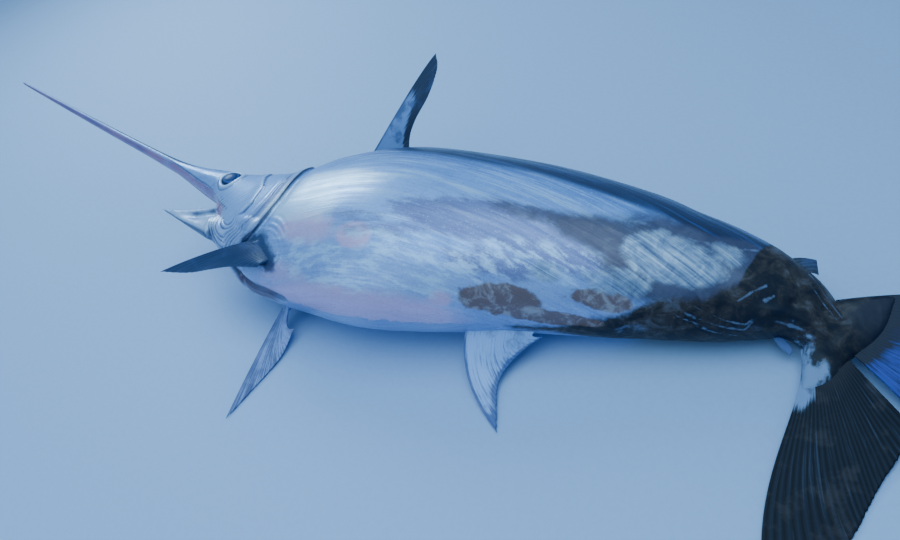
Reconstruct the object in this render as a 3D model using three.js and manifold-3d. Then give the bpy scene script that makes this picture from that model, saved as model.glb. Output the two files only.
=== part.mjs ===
// A life-size swordfish lying on its right side, as a still museum model.
// Millimetres, +Z up. The head points to -X, the back to +Y and the left flank up.
import * as THREE from 'three';
import Module from 'manifold-3d';
import { mergeVertices } from 'three/addons/utils/BufferGeometryUtils.js';

const wasm = await Module();
wasm.setup();

// Driving sizes
const GAP = 0.3;
const SIDES = 32;
const RAD = Math.PI / 180;
const FLOOR = 0;
const BELOW_FLOOR = -5;

// The lines of the fish, station by station from the tip of the bill to the root of the tail.
// x, y, z: the middle of the section. back, belly: from the middle to the two edges.
// side: half the thickness. roll: degrees that the back is turned up from the floor.
const STATIONS = [
  { x: -1362, y: 164, z: 328, back: 2.5, belly: 2.5, side: 4, roll: 0 },
  { x: -1240, y: 141, z: 295, back: 5, belly: 5, side: 8, roll: 0 },
  { x: -1060, y: 107, z: 247, back: 8, belly: 8, side: 12, roll: 0 },
  { x: -884, y: 74, z: 202, back: 11, belly: 11, side: 16, roll: 0 },
  { x: -790, y: 56, z: 176, back: 18, belly: 15, side: 24, roll: 0 },
  { x: -720, y: 44, z: 158, back: 32, belly: 25, side: 37, roll: 0 },
  { x: -655, y: 34, z: 147, back: 46, belly: 40, side: 50, roll: 0 },
  { x: -590, y: 14, z: 140, back: 68, belly: 76, side: 65, roll: 0 },
  { x: -515, y: -6, z: 135, back: 95, belly: 134, side: 86, roll: 0 },
  { x: -428, y: -25, z: 132, back: 130, belly: 175, side: 110, roll: 0 },
  { x: -370, y: -31, z: 131, back: 164, belly: 181, side: 124, roll: 0 },
  { x: -308, y: -32, z: 134, back: 190, belly: 188, side: 135, roll: 1 },
  { x: -205, y: -28, z: 140, back: 210, belly: 202, side: 143, roll: 2 },
  { x: -97, y: -14, z: 138, back: 208, belly: 199, side: 141, roll: 4 },
  { x: 96, y: 12, z: 122, back: 181, belly: 173, side: 124, roll: 8 },
  { x: 282, y: 21, z: 104, back: 145, belly: 141, side: 105, roll: 14 },
  { x: 370, y: 20, z: 95, back: 121, belly: 121, side: 96, roll: 17 },
  { x: 446, y: 19, z: 84, back: 105, belly: 102, side: 84, roll: 20 },
  { x: 507, y: 17, z: 73, back: 87, belly: 80, side: 72, roll: 23 },
  { x: 558, y: 10, z: 62, back: 65, belly: 58, side: 60, roll: 25 },
  { x: 595, y: -8, z: 52, back: 49, belly: 45, side: 46, roll: 26 },
  { x: 622, y: -30, z: 46, back: 42, belly: 42, side: 30, roll: 27 },
];
const BILL_END = 4;
const GILL_LINE = 9;
const SHOULDER_END = 12;
const MIDDLE_END = 14;
const REAR_END = 17;
const TAIL_ROOT = STATIONS.length - 1;

const KEEL = { from: 17.2, to: 21.4, height: 9, spread: 11 };
const GILL_STEP = { depth: 4, reach: 0.16 };

const EYE = { at: 6.44, angle: 85, radius: 24, depth: 15, proud: 4.5 };
const ORBIT = { radius: 34, depth: 16, proud: 3, mouth: 26.5, mouthDepth: 12, mouthProud: 9 };
const NOSTRIL = { at: [5.42, 5.58], angle: 58, length: 4.5, width: 2.2, depth: 3, proud: 1.5, segments: 10 };

const JAW = [
  { x: -560, y: -36, z: 138, back: 22, belly: 26, side: 56, roll: 0 },
  { x: -600, y: -40, z: 140, back: 17, belly: 22, side: 45, roll: 0 },
  { x: -650, y: -46, z: 141, back: 14, belly: 19, side: 29, roll: 0 },
  { x: -715, y: -51, z: 143, back: 10, belly: 14, side: 17, roll: 0 },
  { x: -770, y: -50, z: 145, back: 6, belly: 8, side: 9, roll: 0 },
  { x: -805, y: -46, z: 147, back: 2.5, belly: 3, side: 3.5, roll: 0 },
];
// The mouth: lips stand up along the edge of both jaws, and between them the skin lies lower.
const JAW_RINGS = 14;
const UPPER_LIP = { from: 4.1, to: 7.3, angle: 123.75, spread: 8, rise: 2.2, palate: 3 };
const LOWER_LIP = { to: 4.6, trough: 0.5, spread: 42, angle: 62, rise: 1.4 };

const THROAT = [
  { x: -480, y: -104, z: 132, back: 60, belly: 66, side: 74, roll: 0 },
  { x: -545, y: -90, z: 132, back: 44, belly: 52, side: 60, roll: 0 },
  { x: -600, y: -78, z: 133, back: 28, belly: 34, side: 44, roll: 0 },
  { x: -650, y: -70, z: 135, back: 16, belly: 20, side: 27, roll: 0 },
  { x: -700, y: -66, z: 138, back: 6, belly: 8, side: 10, roll: 0 },
];
const THROAT_RINGS = 10;
const THROAT_CUT = { x: -600, y: -60, z: 140, slope: 27, size: 900 };

// Plates of the cheek. front and rear: where the two edges lie at the top of the plate. slant: how
// much further back the rear edge ends at the bottom. overlap: how far it bulges in between.
const GILL_COVER = {
  front: 7.95, rear: 8.8, slant: 0.5, overlap: 0.68, top: 32, bottom: 128, bow: 0.34,
  proudFront: 1.2, proudRear: 5, sunk: 5, rows: 12, columns: 7,
};
const PLATE_SWELL = 1.5;
// What one millimetre of gap is, in stations along the body and in degrees round it.
const GROW_STATION = 0.014;
const GROW_DEGREE = 0.6;
const CHEEK_PLATE = {
  front: 7.3, rear: 7.93, slant: 0, overlap: 0, top: 38, bottom: 122, bow: 0.3,
  proudFront: -1, proudRear: 3, sunk: 5, rows: 10, columns: 3,
};

// Small helpers
const vec = (x, y, z) => new THREE.Vector3(x, y, z);
const UP = vec(0, 0, 1);

function spline(rows, pick) {
  return new THREE.CatmullRomCurve3(rows.map(pick), false, 'catmullrom', 0.5);
}

// One row of stations becomes smooth lines that can be read at any place along it.
function makeLines(rows) {
  return {
    last: rows.length - 1,
    middle: spline(rows, (s) => vec(s.x, s.y, s.z)),
    size: spline(rows, (s) => vec(s.back, s.belly, s.side)),
    roll: spline(rows, (s) => vec(s.roll, 0, 0)),
  };
}

function frameAt(lines, at) {
  const u = Math.min(Math.max(at / lines.last, 0), 1);
  const middle = lines.middle.getPoint(u);
  const size = lines.size.getPoint(u);
  const along = lines.middle.getTangent(u).normalize();
  const flatBack = UP.clone().cross(along).normalize();
  const flatSide = along.clone().cross(flatBack);
  const roll = lines.roll.getPoint(u).x * RAD;
  const back = flatBack.clone().multiplyScalar(Math.cos(roll)).addScaledVector(flatSide, Math.sin(roll));
  const side = flatSide.clone().multiplyScalar(Math.cos(roll)).addScaledVector(flatBack, -Math.sin(roll));
  return { middle, size, along, back, side };
}

// A point of the skin: angle 0 is the back, 90 the left flank, 180 the belly and -90 the right flank.
function skinPoint(lines, at, angle, grow = 0, shape = null) {
  const f = frameAt(lines, at);
  const c = Math.cos(angle * RAD);
  const s = Math.sin(angle * RAD);
  let depth = (c > 0 ? f.size.x : f.size.y) + grow;
  let side = f.size.z + grow;
  if (shape) {
    const more = shape(at, angle);
    depth += more.depth;
    side += more.side;
  }
  return f.middle.clone().addScaledVector(f.back, depth * c).addScaledVector(f.side, side * s);
}

// A point below the floor slides up inside its own section until it lies on the floor.
function liftToFloor(point, along, level) {
  if (point.z >= level) return point;
  const rise = UP.clone().addScaledVector(along, -along.z);
  return point.addScaledVector(rise, (level - point.z) / rise.z);
}

function ringAt(lines, at, grow, shape, level) {
  const along = frameAt(lines, at).along;
  const ring = [];
  for (let i = 0; i < SIDES; i += 1) {
    const point = skinPoint(lines, at, (360 * i) / SIDES, grow, shape);
    ring.push(liftToFloor(point, along, level));
  }
  return ring;
}

function toSolid(vertices, triangles) {
  let volume = 0;
  for (const [a, b, c] of triangles) {
    volume += vertices[a].dot(vertices[b].clone().cross(vertices[c]));
  }
  const flat = new Float32Array(vertices.flatMap((p) => [p.x, p.y, p.z]));
  const turned = volume < 0 ? triangles.map(([a, b, c]) => [a, c, b]) : triangles;
  return new wasm.Manifold(new wasm.Mesh({
    numProp: 3,
    vertProperties: flat,
    triVerts: new Uint32Array(turned.flat()),
  }));
}

// Rings of equal count are skinned into one closed body with a flat cap at each end.
function loft(rings) {
  const count = rings[0].length;
  const vertices = rings.flat();
  const triangles = [];
  for (let r = 0; r < rings.length - 1; r += 1) {
    for (let i = 0; i < count; i += 1) {
      const j = (i + 1) % count;
      const a = r * count + i;
      const b = r * count + j;
      const c = (r + 1) * count + i;
      const d = (r + 1) * count + j;
      triangles.push([a, c, b], [b, c, d]);
    }
  }
  for (const [ring, start] of [[rings[0], 0], [rings.at(-1), (rings.length - 1) * count]]) {
    const hub = vertices.length;
    const centre = ring.reduce((sum, p) => sum.add(p), vec(0, 0, 0)).divideScalar(count);
    vertices.push(centre);
    for (let i = 0; i < count; i += 1) {
      const j = (i + 1) % count;
      if (start === 0) triangles.push([hub, start + i, start + j]);
      else triangles.push([hub, start + j, start + i]);
    }
  }
  return toSolid(vertices, triangles);
}

// The end rings can be drawn in by a trim, which keeps two neighbours' cut faces parallel.
function loftBetween(lines, from, to, steps, options = {}) {
  const { grow = 0, shape = null, level = FLOOR, trimStart = 0, trimEnd = 0 } = options;
  const rings = [];
  for (let i = 0; i <= steps; i += 1) {
    const at = from + ((to - from) * i) / steps;
    const ring = ringAt(lines, at, grow, shape, level);
    const trim = (i === 0 ? trimStart : 0) - (i === steps ? trimEnd : 0);
    const shift = frameAt(lines, at).along.multiplyScalar(trim);
    for (const point of ring) point.add(shift);
    rings.push(ring);
  }
  return loft(rings);
}

function fromGeometry(geometry, matrix) {
  const bare = geometry.clone().applyMatrix4(matrix);
  bare.deleteAttribute('normal');
  bare.deleteAttribute('uv');
  const merged = mergeVertices(bare);
  return new wasm.Manifold(new wasm.Mesh({
    numProp: 3,
    vertProperties: new Float32Array(merged.attributes.position.array),
    triVerts: new Uint32Array(merged.index.array),
  }));
}

function largest(solid) {
  return solid.decompose().reduce((best, piece) => (piece.volume() > best.volume() ? piece : best));
}

// A place on the skin with its own axes: outward, tailward and across.
function seatAt(lines, at, angle) {
  const here = skinPoint(lines, at, angle);
  const tailward = skinPoint(lines, at + 0.05, angle).sub(here).normalize();
  const round = skinPoint(lines, at, angle + 2).sub(here).normalize();
  const outward = round.clone().cross(tailward).normalize();
  const across = outward.clone().cross(tailward).normalize();
  return { here, outward, tailward, across };
}

function ellipsoidAt(seat, length, width, depth, proud, segments = 16) {
  const ball = new THREE.SphereGeometry(1, segments, segments / 2);
  const middle = seat.here.clone().addScaledVector(seat.outward, proud - depth);
  const turn = new THREE.Matrix4().makeBasis(
    seat.tailward.clone().multiplyScalar(length),
    seat.outward.clone().multiplyScalar(depth),
    seat.tailward.clone().cross(seat.outward).multiplyScalar(width),
  );
  turn.setPosition(middle);
  return fromGeometry(ball, turn);
}

// The body
const body = makeLines(STATIONS);
const jawLines = makeLines(JAW);
const throatLines = makeLines(THROAT);

function keelShape(at, angle) {
  const t = (at - KEEL.from) / (KEEL.to - KEEL.from);
  const along = t > 0 && t < 1 ? Math.sin(Math.PI * t) ** 0.7 : 0;
  const off = Math.min(Math.abs(angle - 90), Math.abs(angle - 270)) / KEEL.spread;
  return { depth: 0, side: KEEL.height * along * Math.exp(-off * off) };
}

// Zero at both ends of a span and one in the middle part of it.
function within(at, from, to, fade) {
  const a = Math.min(Math.max((at - from) / fade, 0), 1);
  const b = Math.min(Math.max((to - at) / fade, 0), 1);
  return Math.min(a, b);
}

function upperLipShape(at, angle) {
  const share = within(at, UPPER_LIP.from, UPPER_LIP.to, 0.5);
  const off = Math.min(angle, 360 - angle) - UPPER_LIP.angle;
  const lip = UPPER_LIP.rise * Math.exp(-((off / UPPER_LIP.spread) ** 2));
  const palate = off > UPPER_LIP.spread ? UPPER_LIP.palate : 0;
  return { depth: share * (lip - palate), side: share * (lip - palate) };
}

function lowerLipShape(at, angle) {
  const share = within(at, -1, LOWER_LIP.to, 0.8);
  const off = Math.min(angle, 360 - angle);
  const height = frameAt(jawLines, at).size.x;
  const trough = height * LOWER_LIP.trough * Math.exp(-((off / LOWER_LIP.spread) ** 2));
  const lip = LOWER_LIP.rise * Math.exp(-(((off - LOWER_LIP.angle) / 12) ** 2));
  return { depth: share * (lip - trough), side: share * lip };
}

function shoulderShape(at) {
  const t = Math.min(Math.max((at - GILL_LINE) / GILL_STEP.reach, 0), 1);
  const less = -GILL_STEP.depth * (1 - t * t * (3 - 2 * t));
  return { depth: less, side: less };
}

// The lengths that the body is parted into, each with its count of rings.
const LENGTHS = {
  bill: { from: 0, to: BILL_END, rings: 9 },
  head: { from: BILL_END, to: GILL_LINE, rings: 16, shape: upperLipShape },
  trunkFront: { from: GILL_LINE, to: SHOULDER_END, rings: 10, shape: shoulderShape },
  trunkMiddle: { from: SHOULDER_END, to: MIDDLE_END, rings: 8 },
  trunkRear: { from: MIDDLE_END, to: REAR_END, rings: 9 },
  tailStalk: { from: REAR_END, to: TAIL_ROOT, rings: 14, shape: keelShape },
};

function bodyLength({ from, to, rings, shape = null }) {
  const trimStart = from === 0 ? 0 : GAP / 2;
  const trimEnd = to === TAIL_ROOT ? 0 : GAP / 2;
  return loftBetween(body, from, to, rings, { shape, trimStart, trimEnd });
}

// The same length, swollen by the gap, is what its neighbours are cut back from.
function clearance({ from, to, rings, shape = null }) {
  return loftBetween(body, from, to, rings, { grow: GAP, shape, level: BELOW_FLOOR });
}

const wholeBody = Object.values(LENGTHS).map(clearance).reduce((all, one) => all.add(one));
const headCore = bodyLength(LENGTHS.head);
let trunkFront = bodyLength(LENGTHS.trunkFront);
for (const side of [1, -1]) trunkFront = trunkFront.subtract(cheekPlate(GILL_COVER, side, GAP));
trunkFront = largest(trunkFront);

// The throat is parted from the head by a sloping cut below the cheeks.
function throatBlock(lift) {
  const { x, y, z, size } = THROAT_CUT;
  const slope = THROAT_CUT.slope * RAD;
  const block = new THREE.BoxGeometry(size, size, size);
  const matrix = new THREE.Matrix4().makeRotationZ(-slope);
  const down = vec(-Math.sin(slope), -Math.cos(slope), 0);
  const middle = vec(x, y, z).addScaledVector(down, size / 2 - lift);
  matrix.setPosition(middle);
  return fromGeometry(block, matrix);
}

// Grown by the gap, a plate is the pocket that its neighbours keep free for it.
function cheekPlate(plate, side, grow) {
  const lengthwise = grow * GROW_STATION;
  const outer = [];
  const inner = [];
  for (let r = 0; r <= plate.rows; r += 1) {
    const v = r / plate.rows;
    const end = 2 * v - 1;
    const angle = plate.top + (plate.bottom - plate.top) * v + end * grow * GROW_DEGREE;
    const front = plate.front + plate.bow * end * end - lengthwise;
    const rear = plate.rear + plate.slant * v + plate.overlap * (1 - end * end) + lengthwise;
    for (let c = 0; c <= plate.columns; c += 1) {
      const u = c / plate.columns;
      const at = front + (rear - front) * u;
      const swell = PLATE_SWELL * Math.sin(Math.PI * Math.min(u * 1.2, 1));
      const proud = plate.proudFront + (plate.proudRear - plate.proudFront) * u + swell;
      outer.push(skinPoint(body, at, side * angle, proud + grow));
      inner.push(skinPoint(body, at, side * angle, -plate.sunk - grow));
    }
  }
  return sheet(outer, inner, plate.rows, plate.columns);
}

// Two like grids, one for each face, are closed round their edge into one thin body.
function sheet(outer, inner, rows, columns) {
  const width = columns + 1;
  const vertices = [...outer, ...inner];
  const back = outer.length;
  const triangles = [];
  for (let r = 0; r < rows; r += 1) {
    for (let c = 0; c < columns; c += 1) {
      const a = r * width + c;
      const b = a + 1;
      const d = a + width;
      const e = d + 1;
      const faces = (r + c) % 2 === 0 ? [[a, b, e], [a, e, d]] : [[a, b, d], [b, e, d]];
      for (const [i, j, k] of faces) {
        triangles.push([i, j, k], [back + i, back + k, back + j]);
      }
    }
  }
  const edge = [];
  for (let c = 0; c < columns; c += 1) edge.push(c);
  for (let r = 0; r < rows; r += 1) edge.push(r * width + columns);
  for (let c = columns; c > 0; c -= 1) edge.push(rows * width + c);
  for (let r = rows; r > 0; r -= 1) edge.push(r * width);
  for (let i = 0; i < edge.length; i += 1) {
    const p = edge[i];
    const q = edge[(i + 1) % edge.length];
    triangles.push([p, back + p, q], [q, back + p, back + q]);
  }
  return toSolid(vertices, triangles);
}

// How a fin thins towards its margin, how its rays fade, and how its stiff leading edge is raised.
const FIN_SHAPE = { thinning: 0.6, rayFade: 0.75, leadRise: 1.6, leadRows: 2.2 };

// A smooth ray through space: the points between the first and the last only draw it towards them.
function bentRay(points, v) {
  if (points.length === 1) return points[0];
  const shorter = [];
  for (let i = 0; i < points.length - 1; i += 1) shorter.push(points[i].clone().lerp(points[i + 1], v));
  return bentRay(shorter, v);
}

// A fin is a fan of rays: each runs from the first line, the base, bends towards the lines between
// and ends on the last line, the margin. The rays are ridges in the faces of one thin sheet.
function fin({ lines, rays, steps, root, edge, ridge, level = FLOOR }) {
  const rows = rays * 2;
  const columns = steps;
  const curves = lines.map((line) => new THREE.CatmullRomCurve3(line, false, 'catmullrom', 0.5));
  const grid = [];
  for (let r = 0; r <= rows; r += 1) {
    const points = curves.map((curve) => curve.getPoint(r / rows));
    const line = [];
    for (let k = 0; k <= columns; k += 1) line.push(bentRay(points, k / columns));
    grid.push(line);
  }
  const outer = [];
  const inner = [];
  for (let r = 0; r <= rows; r += 1) {
    for (let k = 0; k <= columns; k += 1) {
      const alongBase = grid[Math.min(r + 1, rows)][k].clone().sub(grid[Math.max(r - 1, 0)][k]);
      const alongRay = grid[r][Math.min(k + 1, columns)].clone().sub(grid[r][Math.max(k - 1, 0)]);
      const normal = alongBase.cross(alongRay).normalize();
      const v = k / columns;
      const film = root + (edge - root) * v ** FIN_SHAPE.thinning;
      const ray = (r % 2 === 0 ? ridge : 0) * (1 - FIN_SHAPE.rayFade * v);
      const lead = ridge * FIN_SHAPE.leadRise * Math.exp(-r / FIN_SHAPE.leadRows) * (1 - v);
      const raise = ray + lead;
      const half = film / 2 + raise;
      const p = grid[r][k].clone();
      const low = level + half * Math.abs(normal.z);
      if (p.z < low) p.z = low;
      outer.push(p.clone().addScaledVector(normal, half));
      inner.push(p.clone().addScaledVector(normal, -half));
    }
  }
  for (const p of [...outer, ...inner]) p.z = Math.max(p.z, level);
  return sheet(outer, inner, rows, columns);
}

// A point stated from a place on the skin: along the body, out from the skin and to the left side.
function from(at, angle, along, out, aside = 0) {
  const f = frameAt(body, at);
  const c = Math.cos(angle * RAD);
  const s = Math.sin(angle * RAD);
  const outward = f.back.clone().multiplyScalar(c).addScaledVector(f.side, s);
  const across = f.side.clone().multiplyScalar(c).addScaledVector(f.back, -s);
  return skinPoint(body, at, angle).addScaledVector(f.along, along)
    .addScaledVector(outward, out).addScaledVector(across, aside);
}

const ROOT_SINK = -8;

const dorsalFin = fin({
  lines: [
    [from(10.1, 0, 0, ROOT_SINK), from(10.75, 0, 0, ROOT_SINK), from(11.4, 0, 0, ROOT_SINK)],
    [vec(-250, 318, 280), vec(-262, 238, 205), vec(-258, 198, 158)],
    [vec(-182, 312, 342), vec(-177, 292, 318), vec(-198, 264, 272), vec(-232, 238, 225),
      vec(-248, 216, 186), vec(-238, 176, 146)],
  ],
  rays: 16, steps: 8, root: 5, edge: 0.9, ridge: 0.9,
});

const secondDorsalFin = fin({
  lines: [
    [from(18.3, 0, 0, ROOT_SINK), from(18.8, 0, 0, ROOT_SINK)],
    [from(18.3, 0, 10, 8), from(18.8, 0, 8, 3)],
    [from(18.3, 0, 44, 11), from(18.3, 0, 46, 7), from(18.8, 0, 22, 1)],
  ],
  rays: 4, steps: 4, root: 3, edge: 0.9, ridge: 0.5,
});

const analFin = fin({
  lines: [
    [vec(30, -165, 84), vec(92, -156, 80), vec(152, -142, 74)],
    [vec(14, -232, 4), vec(78, -186, 44), vec(140, -152, 62)],
    [vec(134, -318, 4), vec(112, -262, 7), vec(102, -222, 14), vec(116, -184, 28),
      vec(140, -158, 46), vec(166, -142, 62)],
  ],
  rays: 13, steps: 7, root: 4, edge: 0.9, ridge: 0.8,
});

const secondAnalFin = fin({
  lines: [
    [from(18.8, 180, 0, ROOT_SINK), from(19.4, 180, 0, ROOT_SINK)],
    [from(18.8, 180, 10, 8), from(19.4, 180, 6, 3)],
    [vec(566, -58, 24), vec(568, -51, 28), vec(560, -42, 33)],
  ],
  rays: 4, steps: 4, root: 3, edge: 0.9, ridge: 0.5,
});

const pectoralLeft = fin({
  lines: [
    [from(9.72, 133, 0, ROOT_SINK), from(10.35, 147, 0, ROOT_SINK)],
    [vec(-465, -187, 230), vec(-368, -202, 214)],
    [vec(-672, -212, 134), vec(-592, -206, 141), vec(-535, -196, 152), vec(-460, -198, 178),
      vec(-374, -204, 200)],
  ],
  rays: 12, steps: 7, root: 7, edge: 0.9, ridge: 0.8,
});

const pectoralRight = fin({
  lines: [
    [from(9.6, -128, 0, ROOT_SINK), from(9.95, -146, 0, ROOT_SINK)],
    [vec(-430, -236, 12), vec(-384, -232, 22)],
    [vec(-400, -432, 3), vec(-382, -350, 4), vec(-366, -275, 8), vec(-362, -212, 28)],
  ],
  rays: 12, steps: 7, root: 7, edge: 0.9, ridge: 0.8,
});

// The tail: the upper lobe stands off the floor and the lower lobe lies along it.
function tailPoint(along, out) {
  const end = frameAt(body, TAIL_ROOT);
  return end.middle.clone().addScaledVector(end.along, along).addScaledVector(end.back, out);
}
const LOBE = { rays: 15, steps: 8, root: 9, edge: 1, ridge: 0.9 };

const caudalUpper = fin({
  lines: [
    [tailPoint(-42, 50), tailPoint(-12, 28), tailPoint(2, GAP + 2)],
    [tailPoint(52, 188), tailPoint(95, 97), tailPoint(90, 14)],
    [tailPoint(298, 385), tailPoint(292, 300), tailPoint(272, 215), tailPoint(243, 138),
      tailPoint(212, 70), tailPoint(170, 5)],
  ],
  ...LOBE,
});

const caudalLower = fin({
  lines: [
    [tailPoint(-16, -46), tailPoint(-4, -26), tailPoint(2, -GAP - 2)],
    [vec(612, -150, 15), vec(640, -128, 24), vec(664, -70, 33)],
    [vec(525, -300, 3), vec(672, -225, 5), vec(708, -108, 22)],
    [vec(602, -485, 3), vec(650, -420, 3), vec(686, -343, 3), vec(702, -292, 3), vec(716, -245, 5),
      vec(736, -195, 9), vec(748, -142, 14)],
  ],
  ...LOBE,
});

// Head, jaw and throat
function eyeSolid(side, grow) {
  const seat = seatAt(body, EYE.at, side * EYE.angle);
  if (side < 0) seat.outward.negate();
  return ellipsoidAt(seat, EYE.radius + grow, EYE.radius + grow, EYE.depth + grow, EYE.proud + grow);
}

function headSolid() {
  let head = headCore;
  for (const side of [1, -1]) {
    const seat = seatAt(body, EYE.at, side * EYE.angle);
    if (side < 0) seat.outward.negate();
    head = head.add(ellipsoidAt(seat, ORBIT.radius, ORBIT.radius, ORBIT.depth, ORBIT.proud));
    head = head.subtract(ellipsoidAt(seat, ORBIT.mouth, ORBIT.mouth, ORBIT.mouthDepth, ORBIT.mouthProud));
    head = head.subtract(eyeSolid(side, GAP));
    for (const at of NOSTRIL.at) {
      const nose = seatAt(body, at, side * NOSTRIL.angle);
      if (side < 0) nose.outward.negate();
      const { length, width, depth, proud, segments } = NOSTRIL;
      head = head.subtract(ellipsoidAt(nose, length, width, depth, proud, segments));
    }
    head = head.add(cheekPlate(CHEEK_PLATE, side, 0)).subtract(cheekPlate(GILL_COVER, side, GAP));
  }
  return head;
}

const jawWhole = loftBetween(jawLines, 0, jawLines.last, JAW_RINGS, { shape: lowerLipShape });
const throatFront = loftBetween(throatLines, 0, throatLines.last, THROAT_RINGS);
const head = largest(headSolid().subtract(throatBlock(GAP)));
const headClearance = clearance(LENGTHS.head);
const lowerJaw = largest(jawWhole.subtract(headClearance));
const jawClearance = loftBetween(jawLines, 0, jawLines.last, JAW_RINGS, { grow: GAP }).subtract(headCore);
const cheek = headClearance.subtract(throatBlock(0));
let throat = throatFront.subtract(cheek).subtract(jawClearance).add(headCore.intersect(throatBlock(0)));
for (const side of [1, -1]) throat = throat.subtract(cheekPlate(GILL_COVER, side, GAP));
throat = largest(throat.subtract(clearance(LENGTHS.trunkFront)));

const throatClearance = loftBetween(throatLines, 0, throatLines.last, THROAT_RINGS, { grow: GAP });
const finRoot = (solid) => largest(solid.subtract(wholeBody));

// Finish of each part
const FINISH = {
  back: { color: 0x3c5c8c, roughness: 0.38 },
  flank: { color: 0x8aa4cc, roughness: 0.36 },
  silver: { color: 0xa9bfe0, roughness: 0.34 },
  bill: { color: 0x5d6d96, roughness: 0.45 },
  fin: { color: 0x2f4468, roughness: 0.5 },
  tail: { color: 0x2a2e3c, roughness: 0.5 },
  eye: { color: 0x1d3560, roughness: 0.08 },
};

const fish = new THREE.Group();

function place(name, solid, finish) {
  const mesh = solid.getMesh();
  const geometry = new THREE.BufferGeometry();
  geometry.setAttribute('position', new THREE.BufferAttribute(new Float32Array(mesh.vertProperties), 3));
  geometry.setIndex(new THREE.BufferAttribute(new Uint32Array(mesh.triVerts), 1));
  const material = new THREE.MeshStandardMaterial({ metalness: 0, ...finish });
  const part = new THREE.Mesh(geometry, material);
  part.name = name;
  fish.add(part);
}

place('bill', bodyLength(LENGTHS.bill), FINISH.bill);
place('head', head, FINISH.silver);
place('lower_jaw', lowerJaw, FINISH.silver);
place('throat', throat, FINISH.silver);
place('gill_cover_left', cheekPlate(GILL_COVER, 1, 0), FINISH.silver);
place('gill_cover_right', cheekPlate(GILL_COVER, -1, 0), FINISH.silver);
place('eye_left', eyeSolid(1, 0), FINISH.eye);
place('eye_right', eyeSolid(-1, 0), FINISH.eye);
place('trunk_front', trunkFront, FINISH.flank);
place('trunk_middle', bodyLength(LENGTHS.trunkMiddle), FINISH.flank);
place('trunk_rear', bodyLength(LENGTHS.trunkRear), FINISH.flank);
place('tail_stalk', bodyLength(LENGTHS.tailStalk), FINISH.flank);
place('dorsal_fin', finRoot(dorsalFin), FINISH.fin);
place('second_dorsal_fin', finRoot(secondDorsalFin), FINISH.fin);
place('anal_fin', finRoot(analFin), FINISH.fin);
place('second_anal_fin', finRoot(secondAnalFin), FINISH.fin);
place('pectoral_fin_left', finRoot(pectoralLeft.subtract(throatClearance)), FINISH.fin);
place('pectoral_fin_right', finRoot(pectoralRight), FINISH.fin);
place('caudal_lobe_upper', finRoot(caudalUpper), FINISH.tail);
place('caudal_lobe_lower', finRoot(caudalLower), FINISH.tail);

// The origin is on the floor, under the middle of the whole fish.
const box = new THREE.Box3().setFromObject(fish);
const middle = box.getCenter(vec(0, 0, 0));
fish.position.set(-middle.x, -middle.y, -box.min.z);

export default fish;
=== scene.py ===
"""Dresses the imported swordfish: one skin, fins with their rays, glossy eyes and a plain stage."""

import math

import bmesh
import bpy
import numpy as np
from bpy.props import FloatProperty, FloatVectorProperty, IntProperty, PointerProperty
from mathutils import Matrix, Vector


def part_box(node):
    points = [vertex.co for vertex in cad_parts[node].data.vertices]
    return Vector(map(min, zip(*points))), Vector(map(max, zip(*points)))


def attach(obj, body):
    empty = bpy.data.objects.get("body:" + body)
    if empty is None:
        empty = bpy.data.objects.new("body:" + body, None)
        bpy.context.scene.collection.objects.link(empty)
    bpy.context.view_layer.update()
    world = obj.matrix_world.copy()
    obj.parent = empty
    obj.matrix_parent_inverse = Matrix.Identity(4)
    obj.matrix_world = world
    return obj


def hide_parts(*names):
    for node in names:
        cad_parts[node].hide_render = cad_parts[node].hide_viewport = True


bl_info = {
    "name": "Swordfish looks",
    "version": (1, 0, 0),
    "blender": (4, 5, 0),
    "location": "3D View > Sidebar > Swordfish",
    "description": "Skin, fins, eyes and stage of a life-size swordfish lying on its side",
    "category": "Object",
}

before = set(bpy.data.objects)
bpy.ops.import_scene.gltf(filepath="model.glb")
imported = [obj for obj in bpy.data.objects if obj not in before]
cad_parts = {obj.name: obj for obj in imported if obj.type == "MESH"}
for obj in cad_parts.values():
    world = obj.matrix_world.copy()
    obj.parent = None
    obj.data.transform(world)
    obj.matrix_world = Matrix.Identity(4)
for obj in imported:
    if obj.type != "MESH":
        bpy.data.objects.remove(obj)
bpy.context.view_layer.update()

# The lines below are in the millimetres of the part's drawing. The drawing has the tip of the bill
# at this lowest x and highest y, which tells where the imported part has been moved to.
MM = 0.001
DRAWN_BILL_TIP = (-1.3631, 0.1664)
BILL_LOW, BILL_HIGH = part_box("bill")
SHIFT = np.array([BILL_LOW.x - DRAWN_BILL_TIP[0], BILL_HIGH.y - DRAWN_BILL_TIP[1], 0.0])

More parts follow.
